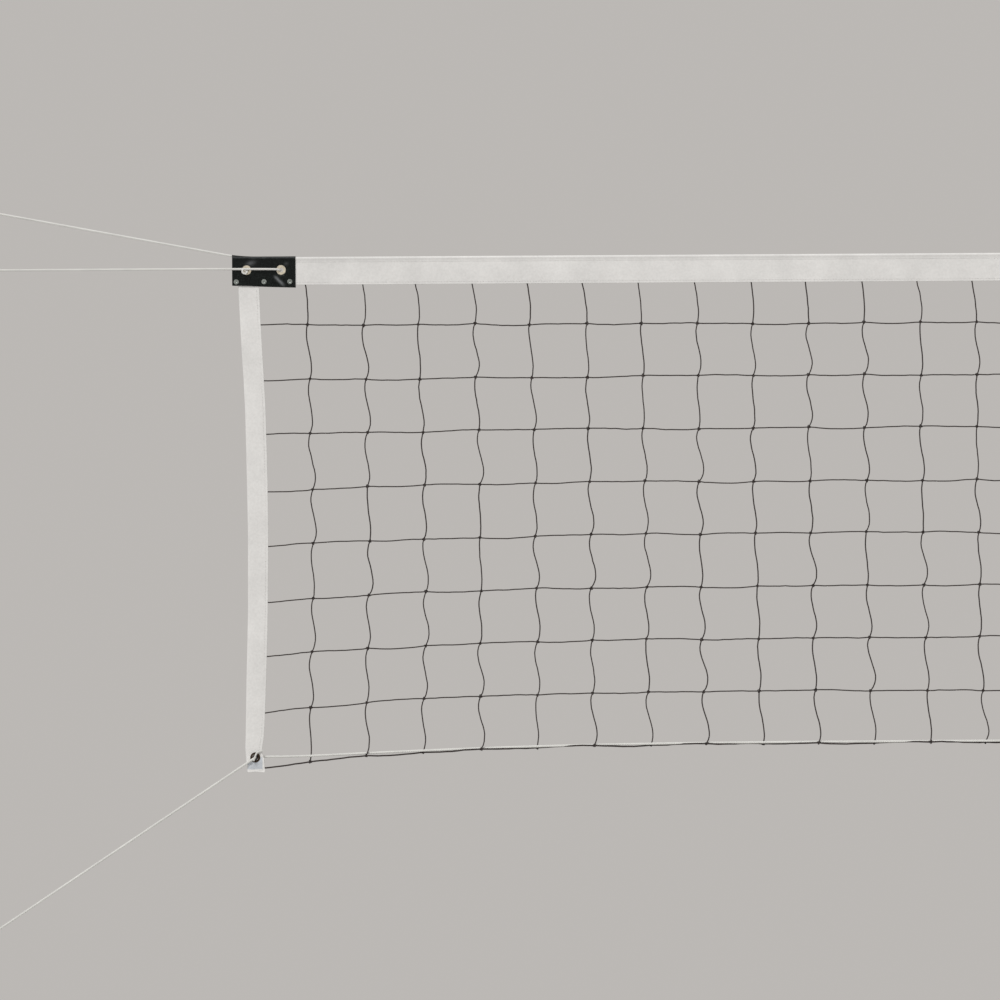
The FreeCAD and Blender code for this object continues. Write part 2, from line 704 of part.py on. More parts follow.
def main():
    os.makedirs("parts", exist_ok=True)
    mirror = (Vector(), Vector(1, 0, 0))
    up = Vector(0, 0, net_height)
    tape_eyelet_at = (tape_eyelet_x, -tape_eyelet_drop)
    net = {"net_mesh": net_mesh(), "head_band": head_band(),
           "head_rope": head_rope(), "bottom_rope": bottom_rope()}
    corner = {
        "corner_patch": [corner_patch()],
        "side_tape": [side_tape()],
        "corner_eyelets": [eyelet(x, z, eyelet_bore, eyelet_flange, patch_outer) for x, z in eyelet_points()],
        "corner_washers": [washer(x, z, eyelet_bore, eyelet_flange, patch_outer) for x, z in eyelet_points()],
        "corner_rivets": [rivet(x, z) for x, z in rivet_points()],
        "tape_eyelet": [eyelet(*tape_eyelet_at, tape_eyelet_bore, tape_eyelet_flange, layer_half)],
        "tape_washer": [washer(*tape_eyelet_at, tape_eyelet_bore, tape_eyelet_flange, layer_half)],
        "lashing_cord": [lashing_cord()],
    }
    pole = {
        "base_plate": [base_plate()], "base_gussets": base_gussets(), "outer_tube": [outer_tube()],
        "guide_bush": [guide_bush()], "clamp_collar": [clamp_collar()], "clamp_shoe": [clamp_shoe()],
        "clamp_screw": [clamp_screw()], "clamp_knob": [clamp_knob()], "mast": [mast()],
        "mast_foot_bush": [mast_foot_bush()], "head_bracket": [head_bracket()], "sheave": [sheave()],
        "sheave_axle": [sheave_axle()], "axle_nut": [axle_nut()], "cleat": [cleat()],
        "cleat_screws": cleat_screws(),
    }
    whole = {name: shape.translated(up) for name, shape in net.items()}
    sides = {name: [shape.translated(up) for shape in shapes] for name, shapes in corner.items()}
    sides.update(pole)
    for name, shapes in sides.items():
        whole[f"left_{name}"] = one(shapes)
        whole[f"right_{name}"] = one([shape.mirror(*mirror) for shape in shapes])
    for name, shape in whole.items():
        shape.exportStep(f"parts/{name}.step")
        print(f"{name}: {len(shape.Solids)} solids, valid {shape.isValid()}, {shape.Volume:.0f} mm3")
    print(f"cord arcs from {min(radii):.1f} mm, {len(whole)} nodes")


main()
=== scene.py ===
import json
import math
import random

import bpy
import numpy as np
from bpy.props import FloatProperty, FloatVectorProperty, IntProperty, PointerProperty
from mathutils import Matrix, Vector, noise


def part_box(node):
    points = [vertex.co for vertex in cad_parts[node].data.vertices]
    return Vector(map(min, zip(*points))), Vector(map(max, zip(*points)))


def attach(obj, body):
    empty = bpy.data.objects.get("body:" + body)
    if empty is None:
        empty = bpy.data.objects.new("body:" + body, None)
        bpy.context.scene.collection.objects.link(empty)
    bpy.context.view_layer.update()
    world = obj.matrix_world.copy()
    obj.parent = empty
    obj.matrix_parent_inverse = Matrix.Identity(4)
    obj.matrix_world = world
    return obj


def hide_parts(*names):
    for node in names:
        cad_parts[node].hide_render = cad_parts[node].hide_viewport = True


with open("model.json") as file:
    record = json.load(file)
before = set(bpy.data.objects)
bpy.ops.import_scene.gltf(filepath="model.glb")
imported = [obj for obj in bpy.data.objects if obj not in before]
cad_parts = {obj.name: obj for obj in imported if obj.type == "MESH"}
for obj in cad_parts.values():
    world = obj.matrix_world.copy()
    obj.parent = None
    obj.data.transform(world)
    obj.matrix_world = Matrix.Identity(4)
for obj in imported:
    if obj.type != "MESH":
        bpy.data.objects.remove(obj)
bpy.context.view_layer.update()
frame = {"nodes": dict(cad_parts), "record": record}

bl_info = {
    "name": "Volleyball net and poles",
    "version": (1, 0, 0),
    "blender": (4, 5, 0),
    "location": "3D View > Sidebar > Net",
    "description": "Makes the net, band, tapes, patches, cords and finishes round the frame",
    "category": "Add Mesh",
}


def middle(name):
    low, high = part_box(name)
    return (low + high) / 2


def half_height(name):
    low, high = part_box(name)
    return (high.z - low.z) / 2


# Places taken from the frame, in metres. X runs along the net, the front faces -Y, Z is up.
# A drop is measured down from the net's top edge, and an inset from its end towards its middle.
NET = "net_and_masts"
SIDES = {"left": -1, "right": 1}
BAND_LOW, BAND_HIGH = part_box("head_band")
TOP = BAND_HIGH.z
END = BAND_HIGH.x
BAND_DROP = TOP - BAND_LOW.z
PATCH_LOW, PATCH_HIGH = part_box("left_corner_patch")
PATCH_INNER = -PATCH_HIGH.x
EYELETS_LOW, EYELETS_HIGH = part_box("left_corner_eyelets")
FLANGE = half_height("left_corner_eyelets")
OUTER_EYELET = EYELETS_LOW.x + FLANGE
INNER_EYELET = EYELETS_HIGH.x - FLANGE
EYELET_DROP = 0.0235
EYELET_Z = TOP - EYELET_DROP
TAPE_EYELET = middle("left_tape_eyelet")
TAPE_FLANGE = half_height("left_tape_eyelet")


# Settings


def metres(name, description, default):
    return FloatProperty(name=name, description=description, default=default, unit="LENGTH")


def tint(name, description, default):
    return FloatVectorProperty(name=name, description=description, default=default, subtype="COLOR")


class NetSizes(bpy.types.PropertyGroup):
    first_column: metres("First column", "First free upright twine, from the net's end", 0.133)
    first_row: metres("First row", "First level twine, below the top edge", 0.123)
    depth: metres("Depth", "Bottom edge below the top edge, in the middle", 0.881)
    corner_drop: metres("Corner drop", "How much lower the bottom edge is at the corners", 0.043)
    corner_reach: metres("Corner reach", "Length of bottom edge that a corner pulls down", 1.5)
    rows: IntProperty(name="Rows", description="Meshes below the first level twine", default=8)
    columns: IntProperty(
        name="Columns", description="Meshes between the first and last column", default=92)
    twine: metres("Twine", "Diameter of the twine", 0.0024)
    edge_twine: metres("Edge twine", "Diameter of the bottom edge's twine", 0.0030)
    knot: metres("Knot", "Width of a knot", 0.0056)
    side_dip: metres(
        "Side dip", "How much lower the bottom edge meets the tape than the first column", 0.012)
    over_rope: metres(
        "Over the rope", "How far out the knots in front of the bottom rope stand", 0.0074)


class ClothSizes(bpy.types.PropertyGroup):
    canvas: metres("Canvas", "Thickness of one layer", 0.001)
    half: metres("Band half", "Half the thickness of the folded band", 0.0026)
    fold: metres("Fold", "Outer radius of the band's fold round its rope", 0.0033)
    vinyl: metres("Vinyl", "Thickness of the patch", 0.0012)
    patch_half: metres("Patch half", "Half the thickness of the folded patch", 0.0040)
    patch_fold: metres("Patch fold", "Outer radius of the patch's fold", 0.0047)
    stitch: metres("Stitch", "Length from stitch to stitch", 0.005)
    thread: metres("Thread", "Diameter of the thread", 0.0009)


class Finishes(bpy.types.PropertyGroup):
    canvas: tint("Canvas", "Colour of the band and tapes", (0.795, 0.775, 0.748))
    rope: tint("Rope", "Colour of the cords", (0.84, 0.825, 0.78))
    twine: tint("Twine", "Colour of the mesh", (0.022, 0.014, 0.012))
    vinyl: tint("Vinyl", "Colour of the corner patches", (0.0025, 0.0034, 0.0031))
    # hem: painted shade, the blue-grey of the tapes' doubled ends in shade and below the bottom
    # rope
    hem: tint("Hem", "Colour of the doubled ends of the tapes", (0.66, 0.685, 0.72))
    brass: tint("Brass", "Colour of the eyelets", (0.95, 0.86, 0.68))
    paint: tint("Paint", "Colour of the bases and outer tubes", (0.055, 0.085, 0.125))
    floor: tint("Floor", "Colour of the floor", (0.62, 0.61, 0.59))
    backdrop: tint("Backdrop", "Colour behind the object", (0.50, 0.48, 0.46))


SETTINGS = {"net_sizes": NetSizes, "cloth_sizes": ClothSizes, "net_finishes": Finishes}


# Meshes


def loft(rings):
    """Points and faces of a closed skin over rings, an array of (rings, points, 3)."""
    count, around = rings.shape[:2]
    i, j = np.meshgrid(np.arange(count - 1), np.arange(around), indexing="ij")
    nxt = (j + 1) % around
    quads = [i * around + j, i * around + nxt, (i + 1) * around + nxt, (i + 1) * around + j]
    faces = np.stack(quads, -1).reshape(-1, 4).tolist()
    faces.append(list(range(around - 1, -1, -1)))
    faces.append(list(range((count - 1) * around, count * around)))
    return rings.reshape(-1, 3), faces


def joined(parts):
    """One mesh's points and faces from several."""
    points, faces, start = [], [], 0
    for some_points, some_faces in parts:
        points.append(np.asarray(some_points, float))
        faces += [[start + k for k in face] for face in some_faces]
        start += len(some_points)
    return np.concatenate(points), faces


def across(line):
    """Two directions square to a line at each of its points, carried along without twist."""
    run = np.gradient(line, axis=0)
    run /= np.linalg.norm(run, axis=1)[:, None]
    side = np.cross(run[0], (0, 0, 1.0))
    if np.linalg.norm(side) < 0.1:
        side = np.cross(run[0], (0, 1.0, 0))
    first = []
    for way in run:
        side = side - way * side.dot(way)
        side /= np.linalg.norm(side)
        first.append(side)
    first = np.array(first)
    return first, np.cross(run, first)


def tube(line, radius, sides):
    """A round tube along a line."""
    line = np.asarray(line, float)
    one, two = across(line)
    turn = np.linspace(0, 2 * math.pi, sides, endpoint=False)[None, :, None]
    ring = one[:, None] * np.cos(turn) + two[:, None] * np.sin(turn)
    return loft(line[:, None] + ring * radius)


SEED = 5                   # of every random draw


def crumpled(points, fineness, size):
    """The points moved a little by a noise, up to a size along each axis."""
    noise.seed_set(SEED)
    points = np.asarray(points, float)
    moves = [tuple(noise.noise_vector(Vector(p) * fineness)) for p in points.reshape(-1, 3)]
    return points + np.array(moves).reshape(points.shape) * size


def bell(*terms):
    """1 where every distance is 0, and less with each distance over its width."""
    return math.exp(-sum((distance / width) ** 2 for distance, width in terms))


def clamped(value):
    return min(1.0, max(0.0, value))


def mesh_of(name, shape):
    mesh = bpy.data.meshes.new(name)
    mesh.from_pydata([tuple(p) for p in shape[0]], [], shape[1])
    return mesh


def placed(name, data):
    made = bpy.data.objects.new(name, data)
    bpy.context.scene.collection.objects.link(made)
    return made


def piece(name, shape, finish, body=NET, replaces=()):
    """A mesh object with its finish, riding on a body."""
    made = placed(name, mesh_of(name, shape))
    made.data.polygons.foreach_set("use_smooth", [True] * len(made.data.polygons))
    made.data.validate()
    made.data.update()
    made.data.materials.append(FINISH[finish])
    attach(made, body)
    if replaces:
        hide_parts(*replaces)
    return made


CUT_REACH = 0.02
CUT_SIDES = 28


def bore(made, places, radius, sharp=35):
    """Cuts round holes along Y through a piece, and keeps its edges sharp from an angle on."""
    cutters = [tube([(x, -CUT_REACH, z), (x, CUT_REACH, z)], radius, CUT_SIDES) for x, z in places]
    cutter = placed("cutter", mesh_of("cutter", joined(cutters)))
    cut = made.modifiers.new("holes", "BOOLEAN")
    cut.operation = "DIFFERENCE"
    cut.solver = "EXACT"
    cut.object = cutter
    shown = made.evaluated_get(bpy.context.evaluated_depsgraph_get())
    holed = bpy.data.meshes.new_from_object(shown)
    made.modifiers.clear()
    made.data = holed
    bpy.data.objects.remove(cutter)
    holed.set_sharp_from_angle(angle=math.radians(sharp))


# Shader nodes and the node groups that finishes share

GROUPS = {}
FINISH = {}


def node(tree, kind, inputs=None, **settings):
    """A node with its settings, whose inputs get values or links."""
    made = tree.nodes.new(kind)
    for name, value in settings.items():
        setattr(made, name, value)
    for name, value in (inputs or {}).items():
        if isinstance(value, bpy.types.NodeSocket):
            tree.links.new(value, made.inputs[name])
        else:
            made.inputs[name].default_value = value
    return made


def linked(tree, sockets, **values):
    """Links values to the sockets of their names, written with low lines for blanks."""
    for name, value in values.items():
        tree.links.new(value, sockets[name.replace("_", " ")])


def maths(tree, operation, a, b=0.0, c=0.0):
    return node(tree, "ShaderNodeMath", {0: a, 1: b, 2: c}, operation=operation).outputs[0]


def clouds(tree, place, scale, detail):
    inputs = {"Vector": place, "Scale": scale, "Detail": detail}
    return node(tree, "ShaderNodeTexNoise", inputs).outputs[0]


def separate(tree, place):
    return node(tree, "ShaderNodeSeparateXYZ", {0: place}).outputs


def group(name, place, values, gives):
    """A new node group that takes a vector and some values, and gives masks."""
    tree = bpy.data.node_groups.new(name, "ShaderNodeTree")
    tree.interface.new_socket(name=place, in_out="INPUT", socket_type="NodeSocketVector")
    for socket, value in values.items():
        made = tree.interface.new_socket(name=socket, in_out="INPUT", socket_type="NodeSocketFloat")
        made.default_value = value
    for socket in gives:
        tree.interface.new_socket(name=socket, in_out="OUTPUT", socket_type="NodeSocketFloat")
    GROUPS[name] = tree
    return tree, tree.nodes.new("NodeGroupInput").outputs, tree.nodes.new("NodeGroupOutput").inputs


def weave_group():
    """Plain weave: threads over and under each other in the X-Z plane, uneven in thickness."""
    tree, takes, gives = group("plain_weave", "Place", {"Thread": 0.001}, ("Height", "Shade"))
    apart = separate(tree, takes["Place"])
    turns = maths(tree, "DIVIDE", math.pi, takes["Thread"])
    along = maths(tree, "SINE", maths(tree, "MULTIPLY", apart["X"], turns))
    up = maths(tree, "SINE", maths(tree, "MULTIPLY", apart["Z"], turns))
    checks = maths(tree, "MULTIPLY", along, up)
    linked(tree, gives, Height=maths(tree, "MULTIPLY_ADD", checks, 0.5, 0.5),
           Shade=clouds(tree, takes["Place"], 260.0, 3.0))


def mottle_group():
    """Uneven tone in two sizes, for soiling and dulling."""
    tree, takes, gives = group("mottle", "Place", {"Size": 0.05}, ("Tone", "Speck"))
    scale = maths(tree, "DIVIDE", 1.0, takes["Size"])
    linked(tree, gives, Tone=clouds(tree, takes["Place"], scale, 4.0),
           Speck=clouds(tree, takes["Place"], maths(tree, "MULTIPLY", scale, 11.0), 2.0))


def braid_group():
    """Strands that cross in two directions round a cord, from its own lengthways map."""
    tree, takes, gives = group("braid", "Map", {"Pitch": 0.008, "Strands": 8.0}, ("Height",))
    apart = separate(tree, takes["Map"])
    along = maths(tree, "DIVIDE", apart["X"], takes["Pitch"])
    ways = []
    for way in (1.0, -1.0):
        turn = maths(tree, "MULTIPLY_ADD", along, way, apart["Y"])
        phase = maths(tree, "MULTIPLY", maths(tree, "MULTIPLY", turn, takes["Strands"]), math.pi)
        ways.append(maths(tree, "ABSOLUTE", maths(tree, "SINE", phase)))
    linked(tree, gives, Height=maths(tree, "MULTIPLY", *ways))


def drawn_lines_group():
    """Fine lines along Z with gaps, as drawing and handling leave on a tube."""
    tree, takes, gives = group("drawn_lines", "Place", {"Scale": 400.0}, ("Line",))
    squashed = node(tree, "ShaderNodeVectorMath", {0: takes["Place"], 1: (1.0, 1.0, 0.02)},
                    operation="MULTIPLY").outputs[0]
    linked(tree, gives, Line=clouds(tree, squashed, takes["Scale"], 2.0))


def use(tree, name, place, **values):
    """The outputs of a shared group, placed in a material with its own values."""
    return node(tree, "ShaderNodeGroup", {0: place, **values}, node_tree=GROUPS[name]).outputs


def tones(tree, factor, dark, light, low=0.3, high=0.7):
    """Turns a mask into a colour between two."""
    ramp = node(tree, "ShaderNodeValToRGB", {"Fac": factor})
    for stop, position, colour in zip(ramp.color_ramp.elements, (low, high), (dark, light)):
        stop.position = position
        stop.color = (*colour, 1)
    return ramp.outputs["Color"]


def blended(tree, factor, under, over):
    """One colour over another by a mask, through the colour sockets of a mix."""
    inputs = {0: factor, 6: under, 7: (*over, 1)}
    return node(tree, "ShaderNodeMix", inputs, data_type="RGBA").outputs[2]


def spread(tree, value, low=0.0, high=1.0, off=0.0, full=1.0):
    """Maps a value from off..full to low..high."""
    inputs = {"Value": value, "To Min": low, "To Max": high, "From Min": off, "From Max": full}
    return node(tree, "ShaderNodeMapRange", inputs).outputs["Result"]


def bump(tree, height, distance, strength, under=None):
    inputs = {"Height": height, "Distance": distance, "Strength": strength}
    if under is not None:
        inputs["Normal"] = under
    return node(tree, "ShaderNodeBump", inputs).outputs["Normal"]


def place_of(tree):
    return node(tree, "ShaderNodeTexCoord").outputs["Object"]


def shaded(colour, share):
    return tuple(channel * share for channel in colour)


# Finishes


def shader(name, **constants):
    """A new material, with constants on some sockets of its Principled shader."""
    made = bpy.data.materials.new(name)
    made.use_nodes = True
    surface = made.node_tree.nodes["Principled BSDF"]
    for socket, value in constants.items():
        surface.inputs[socket.replace("_", " ")].default_value = value
    FINISH[name] = made
    return made.node_tree, surface.inputs


# A hem's colour is painted shade, blue-grey, and it keeps the canvas's own white where it is lit:
# above its rope's slant, at its foot and at its open edge. These are the drops and the inset where
# the lit white is gone, and where it is full.
SLANT_LIT = {"off": 0.9220, "full": 0.9195}
FOOT_LIT = {"off": 0.9205, "full": 0.9225}
EDGE_LIT = {"off": 0.0485, "full": 0.0505}
SLANT_RISE = 0.45
HEM_FRAY = 0.003


def lit_parts(tree, place):
    """A mask of a hem's lit parts, kept white out of its painted shade, with frayed borders."""
    apart = separate(tree, place)
    fray = clouds(tree, place, 260.0, 2.0)
    inset = maths(tree, "SUBTRACT", END, maths(tree, "ABSOLUTE", apart["X"]))
    level = maths(tree, "SUBTRACT", TOP - HEM_FRAY / 2, apart["Z"])
    drop = maths(tree, "MULTIPLY_ADD", fray, HEM_FRAY, level)
    slant = maths(tree, "MULTIPLY_ADD", inset, SLANT_RISE, drop)
    white = spread(tree, slant, **SLANT_LIT)
    white = maths(tree, "MAXIMUM", white, spread(tree, drop, **FOOT_LIT))
    return maths(tree, "MAXIMUM", white, spread(tree, inset, **EDGE_LIT))


def canvas_finish(name, colour, edge=None):
    """Plain-woven canvas, a little soiled. Given an edge colour, its colour is a hem's painted
    shade, and the edge colour is kept where the hem is lit.
    """
    tree, surface = shader(name, Sheen_Weight=0.25, Sheen_Roughness=0.5, IOR=1.4)
    place = place_of(tree)
    weave = use(tree, "plain_weave", place, Thread=0.0011)
    soil = use(tree, "mottle", place, Size=0.06)
    soiled = maths(tree, "MULTIPLY", soil["Tone"], 0.6)
    tone = maths(tree, "MULTIPLY_ADD", weave["Shade"], 0.4, soiled)
    cloth = tones(tree, tone, shaded(colour, 0.72 if edge else 0.86), shaded(colour, 1.05))
    if edge:
        # painted shade: the hem's colour, under the canvas's own colour where the hem is lit
        cloth = blended(tree, lit_parts(tree, place), cloth, edge)
    wrinkle = bump(tree, soil["Tone"], 0.0015, 0.5)
    linked(tree, surface, Base_Color=cloth, Roughness=spread(tree, soil["Speck"], 0.8, 0.95),
           Normal=bump(tree, weave["Height"], 0.00022, 0.8, wrinkle))


def vinyl_finish(colour):
    """Glossy coated cloth, with grey painted highlights on its crease, fold and near its eyelets,
    by the mesh's own map of them.
    """
    tree, surface = shader("black_vinyl", Specular_IOR_Level=0.16, Coat_Roughness=0.15)
    place = place_of(tree)
    folds = use(tree, "mottle", place, Size=0.022)
    grain = use(tree, "plain_weave", place, Thread=0.0008)
    painted_highlight = node(tree, "ShaderNodeAttribute", attribute_name="painted_highlight").outputs["Fac"]
    uneven = maths(tree, "MULTIPLY_ADD", folds["Speck"], 1.2, 0.4)
    painted_sheen = maths(tree, "MULTIPLY", painted_highlight, uneven)
    smudged = tones(tree, folds["Speck"], shaded(colour, 0.4), shaded(colour, 5.0), 0.35, 0.75)
    creased = bump(tree, folds["Tone"], 0.003, 0.7)
    # painted highlight: the grey that the crease, the fold's top and the vinyl near the eyelets
    # take
    linked(tree, surface, Base_Color=blended(tree, painted_sheen, smudged, (0.17, 0.175, 0.18)),
           Roughness=spread(tree, folds["Tone"], 0.2, 0.42),
           Coat_Weight=spread(tree, folds["Speck"], 0.0, 0.12),
           Normal=bump(tree, grain["Height"], 0.00003, 0.4, creased))


def grained_finish(name, colour, size, tone, rough, grain, **constants):
    """A matt finish in one grain: its size, its shares of the colour, its range of roughness, and
    its bump's distance and strength."""
    tree, surface = shader(name, **constants)
    fuzz = use(tree, "mottle", place_of(tree), Size=size)
    linked(tree, surface,
           Base_Color=tones(tree, fuzz["Tone"], *(shaded(colour, share) for share in tone)),
           Roughness=spread(tree, fuzz["Speck"], *rough), Normal=bump(tree, fuzz["Speck"], *grain))


def plastic_finish(name, colour, rough):
    grained_finish(name, colour, 0.006, (0.8, 1.3), (rough * 0.85, rough * 1.2), (0.00012, 0.5),
                   Specular_IOR_Level=0.45)


def rope_finish(colour):
    """A braid of white strands with painted shade in the grooves between them, and soiled in
    patches.
    """
    tree, surface = shader("white_rope", Sheen_Weight=0.2)
    cord_map = node(tree, "ShaderNodeUVMap", uv_map="cord").outputs["UV"]
    plait = use(tree, "braid", cord_map, Pitch=0.016, Strands=4.0)
    soil = use(tree, "mottle", place_of(tree), Size=0.05)
    soiled = maths(tree, "MULTIPLY", soil["Tone"], 0.5)
    # painted shade: the lower the braid, the darker its colour
    tone = maths(tree, "MULTIPLY_ADD", plait["Height"], 0.5, soiled)
    linked(tree, surface,
           Base_Color=tones(tree, tone, shaded(colour, 0.68), shaded(colour, 1.08), 0.15, 0.7),
           Roughness=spread(tree, soil["Speck"], 0.7, 0.9),
           Normal=bump(tree, plait["Height"], 0.0006, 0.9))


def metal_finish(name, colour, rough, size, lines=0.0, metallic=1.0, dark=0.75, shade_depth=None):
    """Bare or plated metal with dulled patches, drawn lines on tubes, and painted shade in pits,
    which lie less far out along Y than a given place."""
    tree, surface = shader(name, Metallic=metallic)
    place = place_of(tree)
    dull = use(tree, "mottle", place, Size=size)
    plate = tones(tree, dull["Tone"], shaded(colour, dark), colour)
    if shade_depth:
        out = maths(tree, "ABSOLUTE", separate(tree, place)["Y"])
        pit_shade = spread(tree, out, off=shade_depth, full=shade_depth - 0.0003)
        # painted shade: the pits are nearly black
        plate = blended(tree, pit_shade, plate, shaded(colour, 0.06))
    height = use(tree, "drawn_lines", place, Scale=lines)["Line"] if lines else dull["Speck"]
    linked(tree, surface, Base_Color=plate, Normal=bump(tree, height, 0.0001, 0.4),
           Roughness=spread(tree, dull["Speck"], rough * 0.8, rough * 1.3))


def paint_finish(name, colour, rough):
    """Powder coat: a fine orange-peel skin, a little dustier in patches."""
    tree, surface = shader(name, Coat_Roughness=0.3)
    place = place_of(tree)
    skin = use(tree, "mottle", place, Size=0.02)
    dust = use(tree, "mottle", place, Size=0.25)
    dusty = tuple(0.85 * channel + 0.03 for channel in colour)
    linked(tree, surface, Base_Color=tones(tree, dust["Tone"], colour, dusty, 0.4, 0.8),
           Roughness=spread(tree, dust["Speck"], rough * 0.8, rough * 1.25),
           Coat_Weight=spread(tree, skin["Tone"], 0.1, 0.25),
           Normal=bump(tree, skin["Speck"], 0.00025, 0.35))


# How far out along Y the rivets' dimples begin, and with them their painted shade
RIVET_SHADE_DEPTH = -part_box("left_corner_rivets")[0].y - 0.0008


class NET_OT_finishes(bpy.types.Operator):
    """Make the shared node groups and every finish, and give them to the frame's own nodes"""
    bl_idname = "net.finishes"
    bl_label = "Finishes"

    def execute(self, context):
        look = context.scene.net_finishes
        for make_group in (weave_group, mottle_group, braid_group, drawn_lines_group):
            make_group()
        canvas_finish("white_canvas", look.canvas)
        # the hem's finish is painted shade, lit at its foot, its open edge and above its rope's
        # slant
        canvas_finish("hem_canvas_painted_shade", look.hem, edge=look.canvas)
        vinyl_finish(look.vinyl)
        grained_finish("net_twine", look.twine, 0.004, (0.6, 2.0), (0.7, 0.95), (0.0006, 0.8),
                       Sheen_Weight=0.15)
        rope_finish(look.rope)
        metal_finish("eyelet_brass", look.brass, 0.26, 0.005, metallic=0.55, dark=0.7)
        # the tapes' eyelets are a dark brown brass
        metal_finish("dark_brass", (0.10, 0.065, 0.04), 0.42, 0.004, metallic=0.8, dark=0.3)
        metal_finish("rivet_steel", (0.55, 0.60, 0.57), 0.3, 0.004, dark=0.5, shade_depth=RIVET_SHADE_DEPTH)
        metal_finish("shoe_brass", look.brass, 0.4, 0.01)
        metal_finish("mast_steel", (0.42, 0.43, 0.44), 0.36, 0.2, lines=500.0)
        metal_finish("fitting_steel", (0.38, 0.385, 0.39), 0.4, 0.02)
        metal_finish("zinc_steel", (0.45, 0.44, 0.40), 0.33, 0.008)
        metal_finish("cleat_aluminium", (0.55, 0.55, 0.56), 0.42, 0.012)
        paint_finish("pole_paint", look.paint, 0.42)
        paint_finish("collar_paint", (0.012, 0.013, 0.015), 0.38)
        plastic_finish("bush_plastic", (0.02, 0.02, 0.021), 0.5)
        plastic_finish("knob_plastic", (0.014, 0.014, 0.016), 0.42)
        plastic_finish("sheave_plastic", (0.03, 0.03, 0.032), 0.3)
        slots = {part["node"]: part["material_slot"] for part in frame["record"]["subparts"]}
        slots.update({f"{side}_tape_eyelet": "dark_brass" for side in SIDES})
        for name, made in frame["nodes"].items():
            for slot in made.material_slots:
                slot.material = FINISH[slots[name]]
            if not made.material_slots:
                made.data.materials.append(FINISH[slots[name]])
        return {"FINISHED"}


# Camera and stage: the photograph is 1000 pixels wide, at 1.8 mm a pixel in the net's plane

PIXELS = 1000
FRAME_WIDTH = 1.8
LENS = 100.0
SENSOR = 36.0
CAMERA_TURN = math.radians(0.34)
NET_END_PIXEL = 232.2
TOP_EDGE_PIXEL = 257.4
FLOOR_RADIUS = 6.3
FLOOR_SIDES = 128
FLOOR_Z = -0.001
WORLD_LIGHT = 0.62
# Each lamp's strength, and its angle, tilt and turn in degrees
LAMPS = {"key": (1.5, 14, 42, -30), "fill": (0.5, 40, 60, 150)}


def camera():
    data = bpy.data.cameras.new("camera")
    data.lens = LENS
    data.sensor_width = SENSOR
    data.clip_end = 200.0
    made = placed("camera", data)
    step = FRAME_WIDTH / PIXELS
    side, up = (PIXELS / 2 - NET_END_PIXEL) * step, (PIXELS / 2 - TOP_EDGE_PIXEL) * step
    x = -END + side * math.cos(CAMERA_TURN) - up * math.sin(CAMERA_TURN)
    z = TOP - up * math.cos(CAMERA_TURN) - side * math.sin(CAMERA_TURN)
    made.location = (x, -FRAME_WIDTH * LENS / SENSOR, z)
    made.rotation_euler = (math.pi / 2, CAMERA_TURN, 0)
    bpy.context.scene.camera = made


def floor_disc(colour):
    turn = np.linspace(0, 2 * math.pi, FLOOR_SIDES, endpoint=False)
    level = np.full(FLOOR_SIDES, FLOOR_Z)
    ring = np.stack([FLOOR_RADIUS * np.cos(turn), FLOOR_RADIUS * np.sin(turn), level], 1)
    made = placed("floor", mesh_of("floor", (ring, [list(range(FLOOR_SIDES))])))
    tree, surface = shader("floor_finish", Roughness=0.8)
    soft = use(tree, "mottle", place_of(tree), Size=0.8)
    linked(tree, surface, Base_Color=tones(tree, soft["Tone"], shaded(colour, 0.97), colour))
    made.data.materials.append(FINISH["floor_finish"])


def backdrop(colour):
    """An even light, in place of which the camera, gloss and glass see the backdrop's colour."""
    world = bpy.data.worlds.new("studio")
    bpy.context.scene.world = world
    world.use_nodes = True
    tree = world.node_tree
    light = tree.nodes["Background"]
    light.inputs["Color"].default_value = (1, 1, 1, 1)
    light.inputs["Strength"].default_value = WORLD_LIGHT
    seen = node(tree, "ShaderNodeBackground", {"Color": (*colour, 1), "Strength": 1.0}).outputs[0]
    rays = node(tree, "ShaderNodeLightPath").outputs
    shown = maths(tree, "MAXIMUM", rays["Is Camera Ray"], rays["Is Glossy Ray"])
    shown = maths(tree, "MAXIMUM", shown, rays["Is Transmission Ray"])
    mix = node(tree, "ShaderNodeMixShader", {0: shown, 1: light.outputs[0], 2: seen}).outputs[0]
    linked(tree, tree.nodes["World Output"].inputs, Surface=mix)


def lamps():
    for name, (strength, angle, tilt, turn) in LAMPS.items():
        data = bpy.data.lights.new(name, "SUN")
        data.energy = strength
        data.angle = math.radians(angle)
        placed(name, data).rotation_euler = (math.radians(tilt), 0, math.radians(turn))


class NET_OT_stage(bpy.types.Operator):
    """Make the camera, the floor, the backdrop's colour and the light"""
    bl_idname = "net.stage"
    bl_label = "Stage"

    def execute(self, context):
        look = context.scene.net_finishes
        camera()
        floor_disc(look.floor)
        backdrop(look.backdrop)
        lamps()
        context.scene.view_settings.view_transform = "Standard"
        return {"FINISHED"}


# Cords: a route holds the control points of a smooth curve, and a line the points along it.

